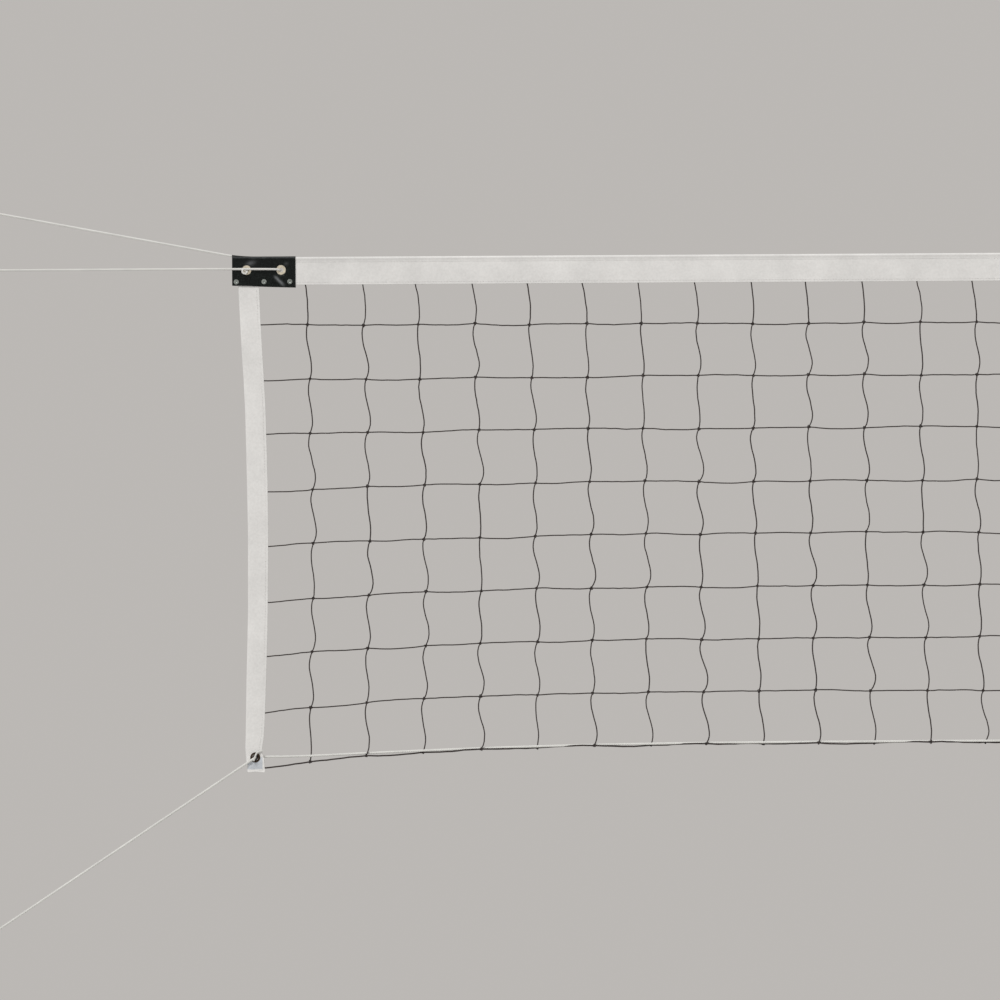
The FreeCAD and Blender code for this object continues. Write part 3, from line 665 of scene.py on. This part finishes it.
CORD_RADIUS = 0.002
CORD_SIDES = 10
CORD_GAP = 0.0003          # from a cord to what it runs along
TURN_GAP = 0.0005          # from one turn of a cord to the next
ROPE_DROP = 0.0033         # of the head rope's middle
HEAD_RISE = math.radians(10.9)
BOTTOM_FALL = math.radians(33.5)
HEAD_BEND = 0.0286         # the inset at which the head rope begins to rise
CORD_SHIFT = 0.001         # the lashing cord's place in its eyelet, off the centre
LASHING_RISE = 0.002       # of the lashing cord above its eyelets
NEAR_EDGE = 6 * 2 * CORD_RADIUS  # from a bend to the control point beside it
MAST_LOW, MAST_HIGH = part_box("left_mast")
MAST_X = (MAST_LOW.x + MAST_HIGH.x) / 2
MAST_RADIUS = (MAST_HIGH.x - MAST_LOW.x) / 2
KNOT_X = MAST_X + 0.060    # where the loops round the mast are tied
KNOT_BEHIND = 0.0022       # from a cord's front strand to the middle of its knot
SHEAVE = middle("left_sheave")
SHEAVE_OUT = 0.018         # from the mast's axis to the sheave's
SHEAVE_PITCH = 0.030
CLEAT_LOW, CLEAT_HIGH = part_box("left_cleat")
CLEAT_HALF = 0.007
CLEAT_REACH = 0.0305       # from the cleat's middle to the turns under its horns
LASHING_Y = EYELETS_LOW.y - CORD_GAP - CORD_RADIUS
LASHING_Z = EYELET_Z + LASHING_RISE
BOTTOM_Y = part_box("left_tape_eyelet")[0].y - CORD_GAP - CORD_RADIUS
BOTTOM_KNOT_Z = TAPE_EYELET.z - (TAPE_EYELET.x - KNOT_X) * math.tan(BOTTOM_FALL)
TAPE_EXIT = (0.01875, 0.0004)  # where the bottom rope leaves the tape, in and up from its eyelet
MESH_Y = -0.0013 - CORD_GAP - CORD_RADIUS
# How far the rope runs above the bottom edge, at insets from the net's end
ROPE_OVER_EDGE = ((0.118, 0.0110), (0.235, 0.0058), (0.350, 0.0036), (0.550, 0.0030),
                  (0.800, 0.0034), (1.150, 0.0036))


def smooth_line(route, resolution=10):
    """The points along a smooth curve whose control points are the route."""
    curve = bpy.data.curves.new("route", "CURVE")
    curve.dimensions = "3D"
    spline = curve.splines.new("NURBS")
    spline.points.add(len(route) - 1)
    for point, place in zip(spline.points, route):
        point.co = (*place, 1.0)
    spline.order_u = 3
    spline.use_endpoint_u = True
    spline.resolution_u = resolution
    holder = bpy.data.objects.new("route", curve)
    mesh = bpy.data.meshes.new_from_object(holder)
    line = np.array([tuple(v.co) for v in mesh.vertices])
    bpy.data.objects.remove(holder)
    bpy.data.meshes.remove(mesh)
    bpy.data.curves.remove(curve)
    return line


def mirrored(route):
    return [(-x, y, z) for x, y, z in route]


def wrapped(radius, start, turn, corners):
    """Corners of straight runs that all touch a circle, as (along, across) from its centre."""
    step = turn / corners
    reach = radius / math.cos(step / 2)
    angles = [start + step * (i + 0.5) for i in range(corners)]
    return [(reach * math.cos(a), reach * math.sin(a)) for a in angles]


def mast_loop(y, z):
    """From the loop's end, round the mast and back to the knot on the cord's front strand."""
    radius = MAST_RADIUS + CORD_GAP + CORD_RADIUS
    far = KNOT_X - MAST_X
    back_y = y + 2 * CORD_RADIUS + TURN_GAP
    start = math.atan2(back_y, far) + math.acos(radius / math.hypot(back_y, far))
    end = math.atan2(y, far) - math.acos(radius / math.hypot(y, far))
    turn = wrapped(radius, start, 2 * math.pi + end - start, 8)
    return [(KNOT_X, back_y, z)] + [(MAST_X + a, b, z) for a, b in turn] + [(KNOT_X, y, z)]


def cleat_turns():
    """The head rope's end, round the cleat's stem under both horns."""
    side = CLEAT_HALF + TURN_GAP + CORD_RADIUS
    inner = MAST_X - SHEAVE_OUT - SHEAVE_PITCH
    outer = inner - 2 * CORD_RADIUS - TURN_GAP
    far = CLEAT_REACH
    z = (CLEAT_LOW.z + CLEAT_HIGH.z) / 2
    return [(outer, -side, z - far / 2), (outer, -side, z + far), (outer, side, z + far),
            (inner, side, z - far), (inner, -side, z - far), (inner, -side, z + far),
            (inner, 0, z + 2 * far + 0.004)]


def head_rope_route():
    """From the left cleat, up over the sheave, through the band and down to the right cleat."""
    bend_x, bend_z = -END + HEAD_BEND, TOP - ROPE_DROP
    run, rise = NEAR_EDGE * math.cos(HEAD_RISE), NEAR_EDGE * math.sin(HEAD_RISE)
    fall = SHEAVE.x - SHEAVE_PITCH
    half = cleat_turns()
    half += [(fall, 0.0, half[-1][2] + NEAR_EDGE), (fall, 0.0, SHEAVE.z - NEAR_EDGE)]
    for a, b in wrapped(SHEAVE_PITCH, math.pi, -math.pi / 2 - HEAD_RISE, 4):
        half.append((SHEAVE.x + a, 0.0, SHEAVE.z + b))
    x, _, z = half[-1]
    half += [(x + run, 0.0, z - rise), (bend_x - run, 0.0, bend_z + rise),
             (bend_x, 0.0, bend_z), (bend_x + NEAR_EDGE, 0.0, bend_z)]
    return half + mirrored(half[::-1])


def lashing_route():
    """From the left mast, in front of the patch, in at the inner eyelet and out at the outer."""
    near = -2 * LASHING_Y
    end_y = LASHING_Y + 2 * CORD_RADIUS + CORD_GAP
    inner = INNER_EYELET - CORD_SHIFT
    return mast_loop(LASHING_Y, LASHING_Z) + [
        (KNOT_X + NEAR_EDGE, LASHING_Y, LASHING_Z), (inner - near, LASHING_Y, LASHING_Z),
        (inner, LASHING_Y, EYELET_Z), (inner, -LASHING_Y, EYELET_Z),
        (inner - near, -LASHING_Y, EYELET_Z), (OUTER_EYELET + near, -LASHING_Y, EYELET_Z),
        (OUTER_EYELET, -LASHING_Y, EYELET_Z), (OUTER_EYELET, end_y, EYELET_Z)]


def bottom_edge(x, sizes):
    share = max(0.0, (abs(x) - END + sizes.corner_reach) / sizes.corner_reach)
    return TOP - sizes.depth - sizes.corner_drop * share ** 5


def bottom_rope_route(sizes):
    """From the left mast, in through the tape's eyelet and along the bottom edge to the right."""
    x, _, z = TAPE_EYELET
    near = -2 * BOTTOM_Y
    run, rise = math.cos(BOTTOM_FALL), math.sin(BOTTOM_FALL)
    half = mast_loop(BOTTOM_Y, BOTTOM_KNOT_Z) + [
        (KNOT_X + NEAR_EDGE * run, BOTTOM_Y, BOTTOM_KNOT_Z + NEAR_EDGE * rise),
        (x - near * run, BOTTOM_Y, z - near * rise), (x, BOTTOM_Y, z), (x, -BOTTOM_Y, z),
        (x + TAPE_EXIT[0], -BOTTOM_Y, z + TAPE_EXIT[1])]
    for inset, above in ROPE_OVER_EDGE:
        half.append((-END + inset, MESH_Y, bottom_edge(-END + inset, sizes) + above))
    return half + mirrored(half[::-1])


def distances(line):
    """How far along a line each of its points lies."""
    return np.concatenate([[0], np.cumsum(np.linalg.norm(np.diff(line, axis=0), axis=1))])


def corded(name, line, along, radius, sides, finish="white_rope", replaces=()):
    """A tube along a line, with a map of the metres along it and the turns round it."""
    made = piece(name, tube(line, radius, sides), finish, replaces=replaces)
    layer = made.data.uv_layers.new(name="cord")
    spots = []
    for face in made.data.polygons:
        seen = [(v // sides, v % sides) for v in face.vertices]
        seam = len(seen) == 4 and {s for _, s in seen} == {0, sides - 1}
        for ring, s in seen:
            spots += [along[ring], (sides if seam and s == 0 else s) / sides]
    layer.data.foreach_set("uv", spots)
    return made


def cord(name, route, replaces):
    """A braided cord along a route, mapped in metres along its length."""
    line = smooth_line(route)
    along = distances(line)
    made = corded(name, line, along, CORD_RADIUS, CORD_SIDES, replaces=replaces)


STRAND_RADIUS = 0.0018
STRAND_SIDES = 8
WAIST_RADIUS = 0.0016
WRAP_TURNS = 3.5
WRAP_RADIUS = 0.0046
WRAP_PITCH = 0.0042


def wrap_knot(name, sign, y, z):
    """A lashing of a few turns along X round a cord's two strands beside the mast."""
    turn = np.linspace(0, WRAP_TURNS * 2 * math.pi, int(WRAP_TURNS * 16) + 1)
    along = (turn / (2 * math.pi) - WRAP_TURNS / 2) * WRAP_PITCH
    coil = np.stack([along, WRAP_RADIUS * np.cos(turn), WRAP_RADIUS * np.sin(turn)], 1)
    line = np.array([-sign * KNOT_X, y + KNOT_BEHIND, z]) + coil
    return corded(name, line, turn * WRAP_RADIUS, STRAND_RADIUS, STRAND_SIDES)


def tied(name, eyelet, sign, ways, radius, finish="white_rope"):
    """A short tied end: a smooth tube along (across, out, up) points from an eyelet's centre."""
    line = smooth_line([(-sign * (eyelet[0] + x), y, eyelet[1] + up) for x, y, up in ways], 6)
    return corded(name, line, distances(line), radius, STRAND_SIDES, finish)


# The lashing cord's end comes out of the outer eyelet, goes under its own strand and is tucked
# behind it.
HITCH = ((0.0004, 0.0040, -0.0010), (0.0006, -0.0050, -0.0014), (0.0014, -0.0082, -0.0042),
         (-0.0008, -0.0086, -0.0066), (-0.0050, -0.0086, -0.0062), (-0.0076, -0.0084, -0.0030),
         (-0.0064, -0.0080, 0.0006), (-0.0050, -0.0078, 0.0020))
# A strand crosses the tape's eyelet, goes round the tape's waist and back to the eyelet behind it.
WAIST_STRAND = ((0.0002, 0.0055, -0.0010), (-0.0016, -0.0030, -0.0036), (-0.0030, -0.0092, -0.0060),
                (-0.0006, -0.0096, 0.0000), (0.0022, -0.0076, 0.0074), (0.0060, -0.0050, 0.0108),
                (0.0112, -0.0044, 0.0116), (0.0134, 0.0, 0.0116), (0.0108, 0.0046, 0.0106),
                (0.0050, 0.0058, 0.0050), (0.0006, 0.0058, 0.0))
# The mesh's own twine runs from the bottom edge behind the tape, then coils in the eyelet's bore.
TIE_RUN = ((0.0120, 0.0030, -0.0186), (0.0085, 0.0052, -0.0140), (0.0010, 0.0056, -0.0080))
TIE_TURNS = 2.25
TIE_COIL = 0.0042
TIE_RADIUS = 0.0012


def tie_ways():
    """The way of the twine's tie from the tape's eyelet, as (across, out, up)."""
    turn = np.linspace(0, TIE_TURNS * 2 * math.pi, int(TIE_TURNS * 8) + 1)
    front = BOTTOM_Y + CORD_RADIUS + CORD_GAP + TIE_RADIUS
    out = np.linspace(0.0030, front, len(turn))
    coil = [(TIE_COIL * math.sin(a), y, -TIE_COIL * math.cos(a)) for a, y in zip(turn, out)]
    return [*TIE_RUN, *coil]


class NET_OT_cords(bpy.types.Operator):
    """Make the head rope, the bottom rope, the lashing cords and their knots"""
    bl_idname = "net.cords"
    bl_label = "Cords"

    def execute(self, context):
        outer, tape = (OUTER_EYELET, EYELET_Z), (TAPE_EYELET.x, TAPE_EYELET.z)
        lashing_ties, bottom_ties = {}, []
        for side, sign in SIDES.items():
            lashing_knot = wrap_knot(f"{side}_lashing_knot", sign, LASHING_Y, LASHING_Z)
            bottom_knot = wrap_knot(f"{side}_bottom_knot", sign, BOTTOM_Y, BOTTOM_KNOT_Z)
            hitch = tied(f"{side}_eyelet_hitch", outer, sign, HITCH, STRAND_RADIUS)
            strand = tied(f"{side}_waist_strand", tape, sign, WAIST_STRAND, WAIST_RADIUS)
            tied(f"{side}_corner_tie", tape, sign, tie_ways(), TIE_RADIUS, "net_twine")
            lashing_ties[side] = [lashing_knot, hitch]
            bottom_ties += [bottom_knot, strand]
        cord("head_rope_line", head_rope_route(), ("head_rope",))
        bottom = bottom_rope_route(context.scene.net_sizes)
        cord("bottom_rope_line", bottom, ("bottom_rope",))
        for side, sign in SIDES.items():
            route = lashing_route() if sign < 0 else mirrored(lashing_route())
            cord(f"{side}_lashing_line", route, (f"{side}_lashing_cord",))
        return {"FINISHED"}


# Netting

TWINE_SIDES = 6
KNOT_SIDES = 5
KINK = 0.0008
KINK_FINENESS = 75
ROW_END = 0.044            # the inset at which the rows end, inside the tape
COLUMN_TOP = 0.02          # how far up inside the band the columns begin


def wave(a, b, first, second, steps):
    """A twine from a to b that bends as a cubic with two handles moved sideways, and is kinked."""
    t = np.linspace(0, 1, steps)[:, None]
    a, b, first, second = (np.asarray(spot) for spot in (a, b, first, second))
    line = a + (b - a) * t + 3 * (1 - t) ** 2 * t * first + 3 * (1 - t) * t ** 2 * second
    return crumpled(line, KINK_FINENESS, KINK)


def knot_points(centre, width, turn):
    """A closed overhand loop, as the mesh's knots are tied."""
    t = np.linspace(0, 2 * math.pi, 15)
    x = np.sin(t) + 2 * np.sin(2 * t)
    y = np.cos(t) - 2 * np.cos(2 * t)
    out = -0.8 * np.sin(3 * t)
    across_x = x * math.cos(turn) - y * math.sin(turn)
    up = x * math.sin(turn) + y * math.cos(turn)
    return np.asarray(centre) + np.stack([across_x, out, up], 1) * width / 6


def drawn_in(inset, share):
    """How far the corner's pull moves a knot towards the middle, at a share of the mesh's depth:
    near the end the columns bow, and farther in their feet lean."""
    near_end = 1 / (1 + math.exp((inset - 0.68) / 0.08))
    bow = 0.0085 * near_end * math.sin(math.pi * share)
    lean = 0.0125 * share ** 3 * (1 - bell((inset, 0.5))) * bell((max(0.0, inset - 1.0), 0.8))
    return 0.001 + bow + lean


def knot_places(sizes, rng):
    """Where each column meets each row, a little uneven. Every second foot is out over the rope."""
    pitch = 2 * (END - sizes.first_column) / sizes.columns
    places = []
    for i in range(sizes.columns + 1):
        x = -END + sizes.first_column + pitch * i
        low = bottom_edge(x, sizes)
        column = []
        for k in range(sizes.rows + 1):
            z = TOP - sizes.first_row + (low - TOP + sizes.first_row) * k / sizes.rows
            moved = math.copysign(drawn_in(END - abs(x), k / sizes.rows), -x)
            column.append((x + moved + rng.uniform(-1, 1) * 0.0018, rng.uniform(-1, 1) * 0.0004,
                           z + rng.uniform(-1, 1) * (0.0018 if k < sizes.rows else 0.0004)))
        if i % 2:
            foot_x, _, foot_z = column[-1]
            column[-1] = (foot_x, -sizes.over_rope, foot_z + sizes.over_rope / 4)
        places.append(column)
    return places


def upright_twines(knots, sizes, rng):
    """The columns, which hang in curves from inside the band, each to the bottom edge."""
    tubes = []
    for column in knots:
        x = column[0][0] - rng.uniform(0.002, 0.013)
        hidden = (x, sway(x, BAND_DROP - 0.01), TOP - BAND_DROP + COLUMN_TOP)
        for k, (a, b) in enumerate(zip([hidden] + column, column)):
            bow = rng.uniform(0.35, 1.25) * (0.6 if k == 0 else 1.0)
            left = (0.004 if k == 0 else -0.014) * bow
            first = (left, rng.uniform(-0.002, 0.002) * min(k, 1), 0)
            second = (0.019 * bow * rng.uniform(0.6, 1.25), rng.uniform(-0.002, 0.002), 0)
            tubes.append(tube(wave(a, b, first, second, 15), sizes.twine / 2, TWINE_SIDES))
    return tubes


def level_twines(knots, sizes, rng):
    """The rows from tape to tape, each a list of tubes. The last is the thicker edge twine."""
    rows = []
    for k in range(sizes.rows + 1):
        radius = (sizes.edge_twine if k == sizes.rows else sizes.twine) / 2
        level = [column[k] for column in knots]
        dip = sizes.side_dip * k / sizes.rows
        level.insert(0, (-END + ROW_END, 0.0, level[0][2] - dip))
        level.append((END - ROW_END, 0.0, level[-1][2] - dip))
        rows.append([])
        for a, b in zip(level, level[1:]):
            first, second = [(0, rng.uniform(-0.001, 0.001), rng.uniform(-0.004, 0.003))
                             for _ in range(2)]
            rows[-1].append(tube(wave(a, b, first, second, 11), radius, TWINE_SIDES))
    return rows


def tied_knots(knots, sizes, rng):
    tubes = []
    for centre in (place for column in knots for place in column):
        width = sizes.knot * rng.uniform(0.85, 1.2)
        loop = knot_points(centre, width, rng.uniform(0, 6.28))
        tubes.append(tube(loop, sizes.twine * 0.36, KNOT_SIDES))
    return tubes


class NET_OT_netting(bpy.types.Operator):
    """Make the mesh's uprights, level twines, edge twine and knots, all in place of its sheet"""
    bl_idname = "net.netting"
    bl_label = "Netting"

    def execute(self, context):
        sizes = context.scene.net_sizes
        rng = random.Random(SEED)
        knots = knot_places(sizes, rng)
        uprights = upright_twines(knots, sizes, rng)
        *rows, edge = level_twines(knots, sizes, rng)
        for name, parts in (("net_uprights", uprights), ("net_level_twines", sum(rows, [])),
                            ("net_edge_twine", edge), ("net_knots", tied_knots(knots, sizes, rng))):
            piece(name, joined(parts), "net_twine", replaces=("net_mesh",))
        return {"FINISHED"}


# Folded cloth

EYELET_HOLE = 0.0049
TAPE_EYELET_HOLE = 0.0064
STITCH_SHARE = 0.72        # of the length from stitch to stitch


def sway(x, drop):
    """How far the band's cloth stands out of its plane: nothing at the rope, more at its foot."""
    share = clamped((drop - 0.006) / 0.044)
    wide = math.sin(x * 7.1 + 1.3) + 0.6 * math.sin(x * 13.7 + 0.4) + 0.35 * math.sin(x * 31 + 2)
    near_end = min(1.0, (END - abs(x)) / 0.3)
    return 0.0011 * share * wide * (0.15 + 0.85 * near_end)


def lift(x, drop):
    """How far the rising head rope pulls up the fold at the band's ends."""
    along = max(0.0, 1 - (END - abs(x)) / 0.045)
    down = max(0.0, 1 - max(0.0, drop) / 0.016)
    return 0.003 * along ** 2 * down


def folded_ring(half, fold, thick, drop, steps=9):
    """The section of cloth folded over the rope: (y, drop) points round its outside and back
    round its inside."""
    def skin(h, r):
        wide = math.pi - math.asin(min(1.0, h / r))
        turn = np.linspace(-wide, wide, 13)
        arc = [(r * math.sin(a), ROPE_DROP - r * math.cos(a)) for a in turn]
        legs = np.linspace(drop, arc[0][1], steps)[:-1]
        return [(-h, d) for d in legs] + arc + [(h, d) for d in legs[::-1]]
    return skin(half, fold) + skin(half - thick, fold - thick)[::-1]


def band_rings(places, section, push=None):
    """Rings along X of a folded section, each swayed as the band is."""
    rings = []
    for x in places:
        rings.append([])
        for y, drop in section:
            out, down = push(x, y, drop) if push else (0.0, 0.0)
            rings[-1].append((x, y + sway(x, drop) + out, TOP - drop + lift(x, drop) - down))
    return np.array(rings)


def seam(name, spots, cloth):
    """A piece of short raised threads at (place, along, face) spots, on faces towards -Y or Y."""
    thread, length = cloth.thread, cloth.stitch * STITCH_SHARE
    parts = []
    for place, along, face in spots:
        place, along, out = Vector(place), Vector(along), Vector((0, face, 0))
        side = along.cross(out)
        corners = [place - along * length / 2, place + along * length / 2,
                   place + side * thread * 0.6, place + out * thread * 0.75,
                   place - side * thread * 0.6]
        parts.append(([tuple(corner) for corner in corners],
                      [[0, 2, 3], [0, 3, 4], [1, 3, 2], [1, 4, 3], [0, 4, 2], [1, 2, 4]]))
    return piece(name, joined(parts), "white_canvas")


class NET_OT_band(bpy.types.Operator):
    """Make the folded canvas head band and its seams"""
    bl_idname = "net.band"
    bl_label = "Head band"

    def execute(self, context):
        cloth = context.scene.cloth_sizes
        section = folded_ring(cloth.half, cloth.fold, cloth.canvas, BAND_DROP)
        corner = np.arange(END, PATCH_INNER, -0.006)
        clear = np.linspace(-PATCH_INNER, PATCH_INNER, 360)
        rings = band_rings(np.concatenate([-corner, clear, corner[::-1]]), section)
        band = piece("head_band_cloth", loft(rings), "white_canvas", replaces=("head_band",))
        bore(band, [(sign * x, EYELET_Z) for sign in (1, -1) for x in (OUTER_EYELET, INNER_EYELET)],
             EYELET_HOLE)
        spots = []
        for drop in (0.0095, BAND_DROP - 0.004):
            for i in range(int(2 * PATCH_INNER / cloth.stitch)):
                x = -PATCH_INNER + cloth.stitch * (i + 0.5)
                for face in (-1, 1):
                    y = face * cloth.half + sway(x, drop)
                    spots.append(((x, y, TOP - drop), (1, 0, 0), face))
        seams = seam("head_band_seams", spots, cloth)
        return {"FINISHED"}


# The tape's drops, and the inset of its folded edge and its width at each
TAPE_DROPS = (0.052, 0.11, 0.17, 0.22, 0.28, 0.40, 0.50, 0.64, 0.71, 0.76, 0.80, 0.84, 0.865,
              0.880, 0.889, 0.901, 0.911, 0.925)
TAPE_EDGES = (0.0106, 0.0132, 0.0160, 0.0191, 0.0217, 0.0240, 0.0254, 0.0246, 0.0226, 0.0211,
              0.0203, 0.0195, 0.0190, 0.0184, 0.0184, 0.0198, 0.0205, 0.0220)
TAPE_WIDTHS = (0.0373, 0.0368, 0.0370, 0.0368, 0.0370, 0.0372, 0.0366, 0.0356, 0.0358, 0.0354,
               0.0347, 0.0339, 0.0326, 0.0306, 0.0292, 0.0318, 0.0328, 0.0308)
WAIST_DROP = 0.891
TAPE_SEAM = (0.062, 0.890)
HEM_START = 0.8975
HEM_OVER = 0.0009          # how much thicker than the tape the hem's half is
HEM_THICK = 0.0008
HEM_CRUMPLE = 0.0018


def tape_edges(drop):
    """The tape's folded edge and its width at a drop, eased by a short average."""
    near = drop + np.linspace(-0.005, 0.005, 7)
    return [float(np.interp(near, TAPE_DROPS, row).mean()) for row in (TAPE_EDGES, TAPE_WIDTHS)]


def tape_section(width, half, thick, gather):
    """The folded tape's section as (from its folded edge, y), gathered where it is pinched."""
    def leg(y):
        return [(width * share, y) for share in (1.0, 0.75, 0.5, 0.25)]
    inside = half - thick
    outer_fold = [(half * 1.2, -half), (half * 0.35, -half * 0.75), (0.0, 0.0),
                  (half * 0.35, half * 0.75), (half * 1.2, half)]
    inner_fold = [(half * 1.5, inside), (thick * 1.3, 0.0), (half * 1.5, -inside)]
    ring = leg(-half) + outer_fold + leg(half)[::-1] + leg(inside) + inner_fold + leg(-inside)[::-1]
    return [(u, y + gather * math.cos(u / width * 3 * math.pi)) for u, y in ring]


def tape_rings(drops, half, thick, gathers):
    """The left tape's sections at its drops, gathered at its waist."""
    rings = []
    for drop in drops:
        edge, width = tape_edges(drop)
        rings.append([])
        for u, y in tape_section(width, half, thick, gathers * bell((drop - WAIST_DROP, 0.02))):
            swell = 0.0005 * math.sin(drop * 21 + 1) * math.sin(u / width * 3.1)
            rings[-1].append((-END + edge + u, y + swell, TOP - drop))
    return np.array(rings)


class NET_OT_tapes(bpy.types.Operator):
    """Make the folded canvas side tapes, their hems and their seams"""
    bl_idname = "net.tapes"
    bl_label = "Side tapes"

    def execute(self, context):
        cloth = context.scene.cloth_sizes
        low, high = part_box("left_side_tape")
        drops = np.linspace(TOP - high.z, TOP - low.z, 161)
        ends = np.linspace(HEM_START, TOP - low.z + 0.0006, 25)
        tape = tape_rings(drops, cloth.half, cloth.canvas, 0.0006)
        hem = crumpled(tape_rings(ends, cloth.half + HEM_OVER, HEM_THICK, 0.0011), 130, HEM_CRUMPLE)
        for side, sign in SIDES.items():
            made = []
            for name, rings, finish, hole, nodes in (
                    ("tape_cloth", tape, "white_canvas", TAPE_EYELET_HOLE, (f"{side}_side_tape",)),
                    ("tape_hem", hem, "hem_canvas_painted_shade", TAPE_FLANGE + 0.0003, ())):
                turned = rings if sign < 0 else rings[:, ::-1] * (-1, 1, 1)
                made.append(piece(f"{side}_{name}", loft(turned), finish, replaces=nodes))
                bore(made[-1], [(-sign * TAPE_EYELET.x, TAPE_EYELET.z)], hole)
            spots = []
            for drop in np.arange(*TAPE_SEAM, cloth.stitch):
                edge, width = tape_edges(drop)
                x = sign * (END - edge - width + 0.0045)
                spots += [((x, face * cloth.half, TOP - drop), (0, 0, 1), face) for face in (-1, 1)]
            seams = seam(f"{side}_tape_seams", spots, cloth)
        return {"FINISHED"}


# Insets of the patch's fastenings, and where its diagonal crease lies
EYELET_INSETS = (0.026, 0.088)
RIVET_INSETS = (0.0074, 0.0574, 0.1037)
RIVET_DROP = 0.0445
CREASE_INSET = 0.0848
CREASE_DROP = 0.043


def patch_crease(inset, drop):
    """1 on the diagonal crease below the inner eyelet, fading to 0 beside and beyond it."""
    beside = (inset - CREASE_INSET) - (drop - CREASE_DROP)
    along = (inset - CREASE_INSET) + (drop - CREASE_DROP)
    return math.exp(-(beside / 0.0032) ** 2 - (along / 0.0155) ** 4)


def patch_push(x, y, drop):
    """How far out and down the vinyl moves: a crease, rings raised round the eyelets, dents under
    eyelets and rivets, and soft buckles. Its foot rises towards the net's end."""
    inset = END - abs(x)
    push = 0.0013 * patch_crease(inset, drop)
    for centre in EYELET_INSETS:
        far = math.hypot(inset - centre, drop - EYELET_DROP)
        push += 0.0008 * bell((far - 0.0125, 0.0035)) - 0.0005 * bell((far, 0.010))
    for centre in RIVET_INSETS:
        push -= 0.0005 * bell((math.hypot(inset - centre, drop - RIVET_DROP), 0.006))
    push += 0.0006 * noise.noise(Vector((x * 60, y * 40, drop * 90)))
    share = clamped((drop - 0.006) / 0.01)
    rise = 0.0026 * (1 - inset / 0.114) ** 1.5 * clamped((drop - 0.0455) / 0.008)
    return math.copysign(1, y) * push * share, 0.014 * max(0.0, inset - 0.02) * share - rise


def paint_highlights(patch):
    """A map of painted highlights on the vinyl: grey on its crease, along its fold's top, and near
    the eyelets.
    """
    values = []
    for vertex in patch.data.vertices:
        inset, drop = END - abs(vertex.co.x), TOP - vertex.co.z
        outer = bell((inset - 0.0335 - 0.6 * (0.011 - drop), 0.007), (drop - 0.011, 0.0045))
        inner = bell((inset - 0.0975, 0.0035), (drop - 0.0125, 0.0030))
        fold = bell((drop - 0.0006, 0.0012))
        crease = min(1.0, patch_crease(inset, drop))
        values.append(crease + 0.45 * outer + 0.22 * inner + 0.3 * fold)
    patch.data.attributes.new("painted_highlight", "FLOAT", "POINT").data.foreach_set("value", values)


class NET_OT_patches(bpy.types.Operator):
    """Make the folded vinyl corner patches"""
    bl_idname = "net.patches"
    bl_label = "Corner patches"

    def execute(self, context):
        cloth = context.scene.cloth_sizes
        drop = TOP - PATCH_LOW.z
        section = folded_ring(cloth.patch_half, cloth.patch_fold, cloth.vinyl, drop, 26)
        for side, sign in SIDES.items():
            places = np.linspace(*sorted((sign * END, sign * PATCH_INNER)), 77)
            shape = loft(band_rings(places, section, patch_push))
            patch = piece(f"{side}_patch_vinyl", shape, "black_vinyl",
                          replaces=(f"{side}_corner_patch",))
            holes = [(-sign * x, EYELET_Z) for x in (OUTER_EYELET, INNER_EYELET)]
            bore(patch, holes, EYELET_HOLE, sharp=50)
            # paints the grey highlights on the vinyl
            paint_highlights(patch)
        return {"FINISHED"}


# Panel, registering and the whole build

STEPS = [NET_OT_finishes, NET_OT_stage, NET_OT_cords, NET_OT_netting, NET_OT_band, NET_OT_tapes,
         NET_OT_patches]


class NET_PT_panel(bpy.types.Panel):
    """The net's settings and steps, in the sidebar"""
    bl_idname = "NET_PT_panel"
    bl_label = "Net"
    bl_space_type = "VIEW_3D"
    bl_region_type = "UI"
    bl_category = "Net"

    def draw(self, context):
        for name, kind in SETTINGS.items():
            box = self.layout.box()
            for prop in kind.__annotations__:
                box.prop(getattr(context.scene, name), prop)
        for step in STEPS:
            self.layout.operator(step.bl_idname)


def register():
    for kind in [*SETTINGS.values(), *STEPS, NET_PT_panel]:
        bpy.utils.register_class(kind)
    for name, kind in SETTINGS.items():
        setattr(bpy.types.Scene, name, PointerProperty(type=kind))


def unregister():
    for name in SETTINGS:
        delattr(bpy.types.Scene, name)
    for kind in [NET_PT_panel, *STEPS[::-1], *list(SETTINGS.values())[::-1]]:
        bpy.utils.unregister_class(kind)


def main():
    register()
    bpy.ops.net.finishes()
    bpy.ops.net.stage()
    bpy.ops.net.cords()
    bpy.ops.net.netting()
    bpy.ops.net.band()
    bpy.ops.net.tapes()
    bpy.ops.net.patches()


if __name__ == "__main__":
    main()
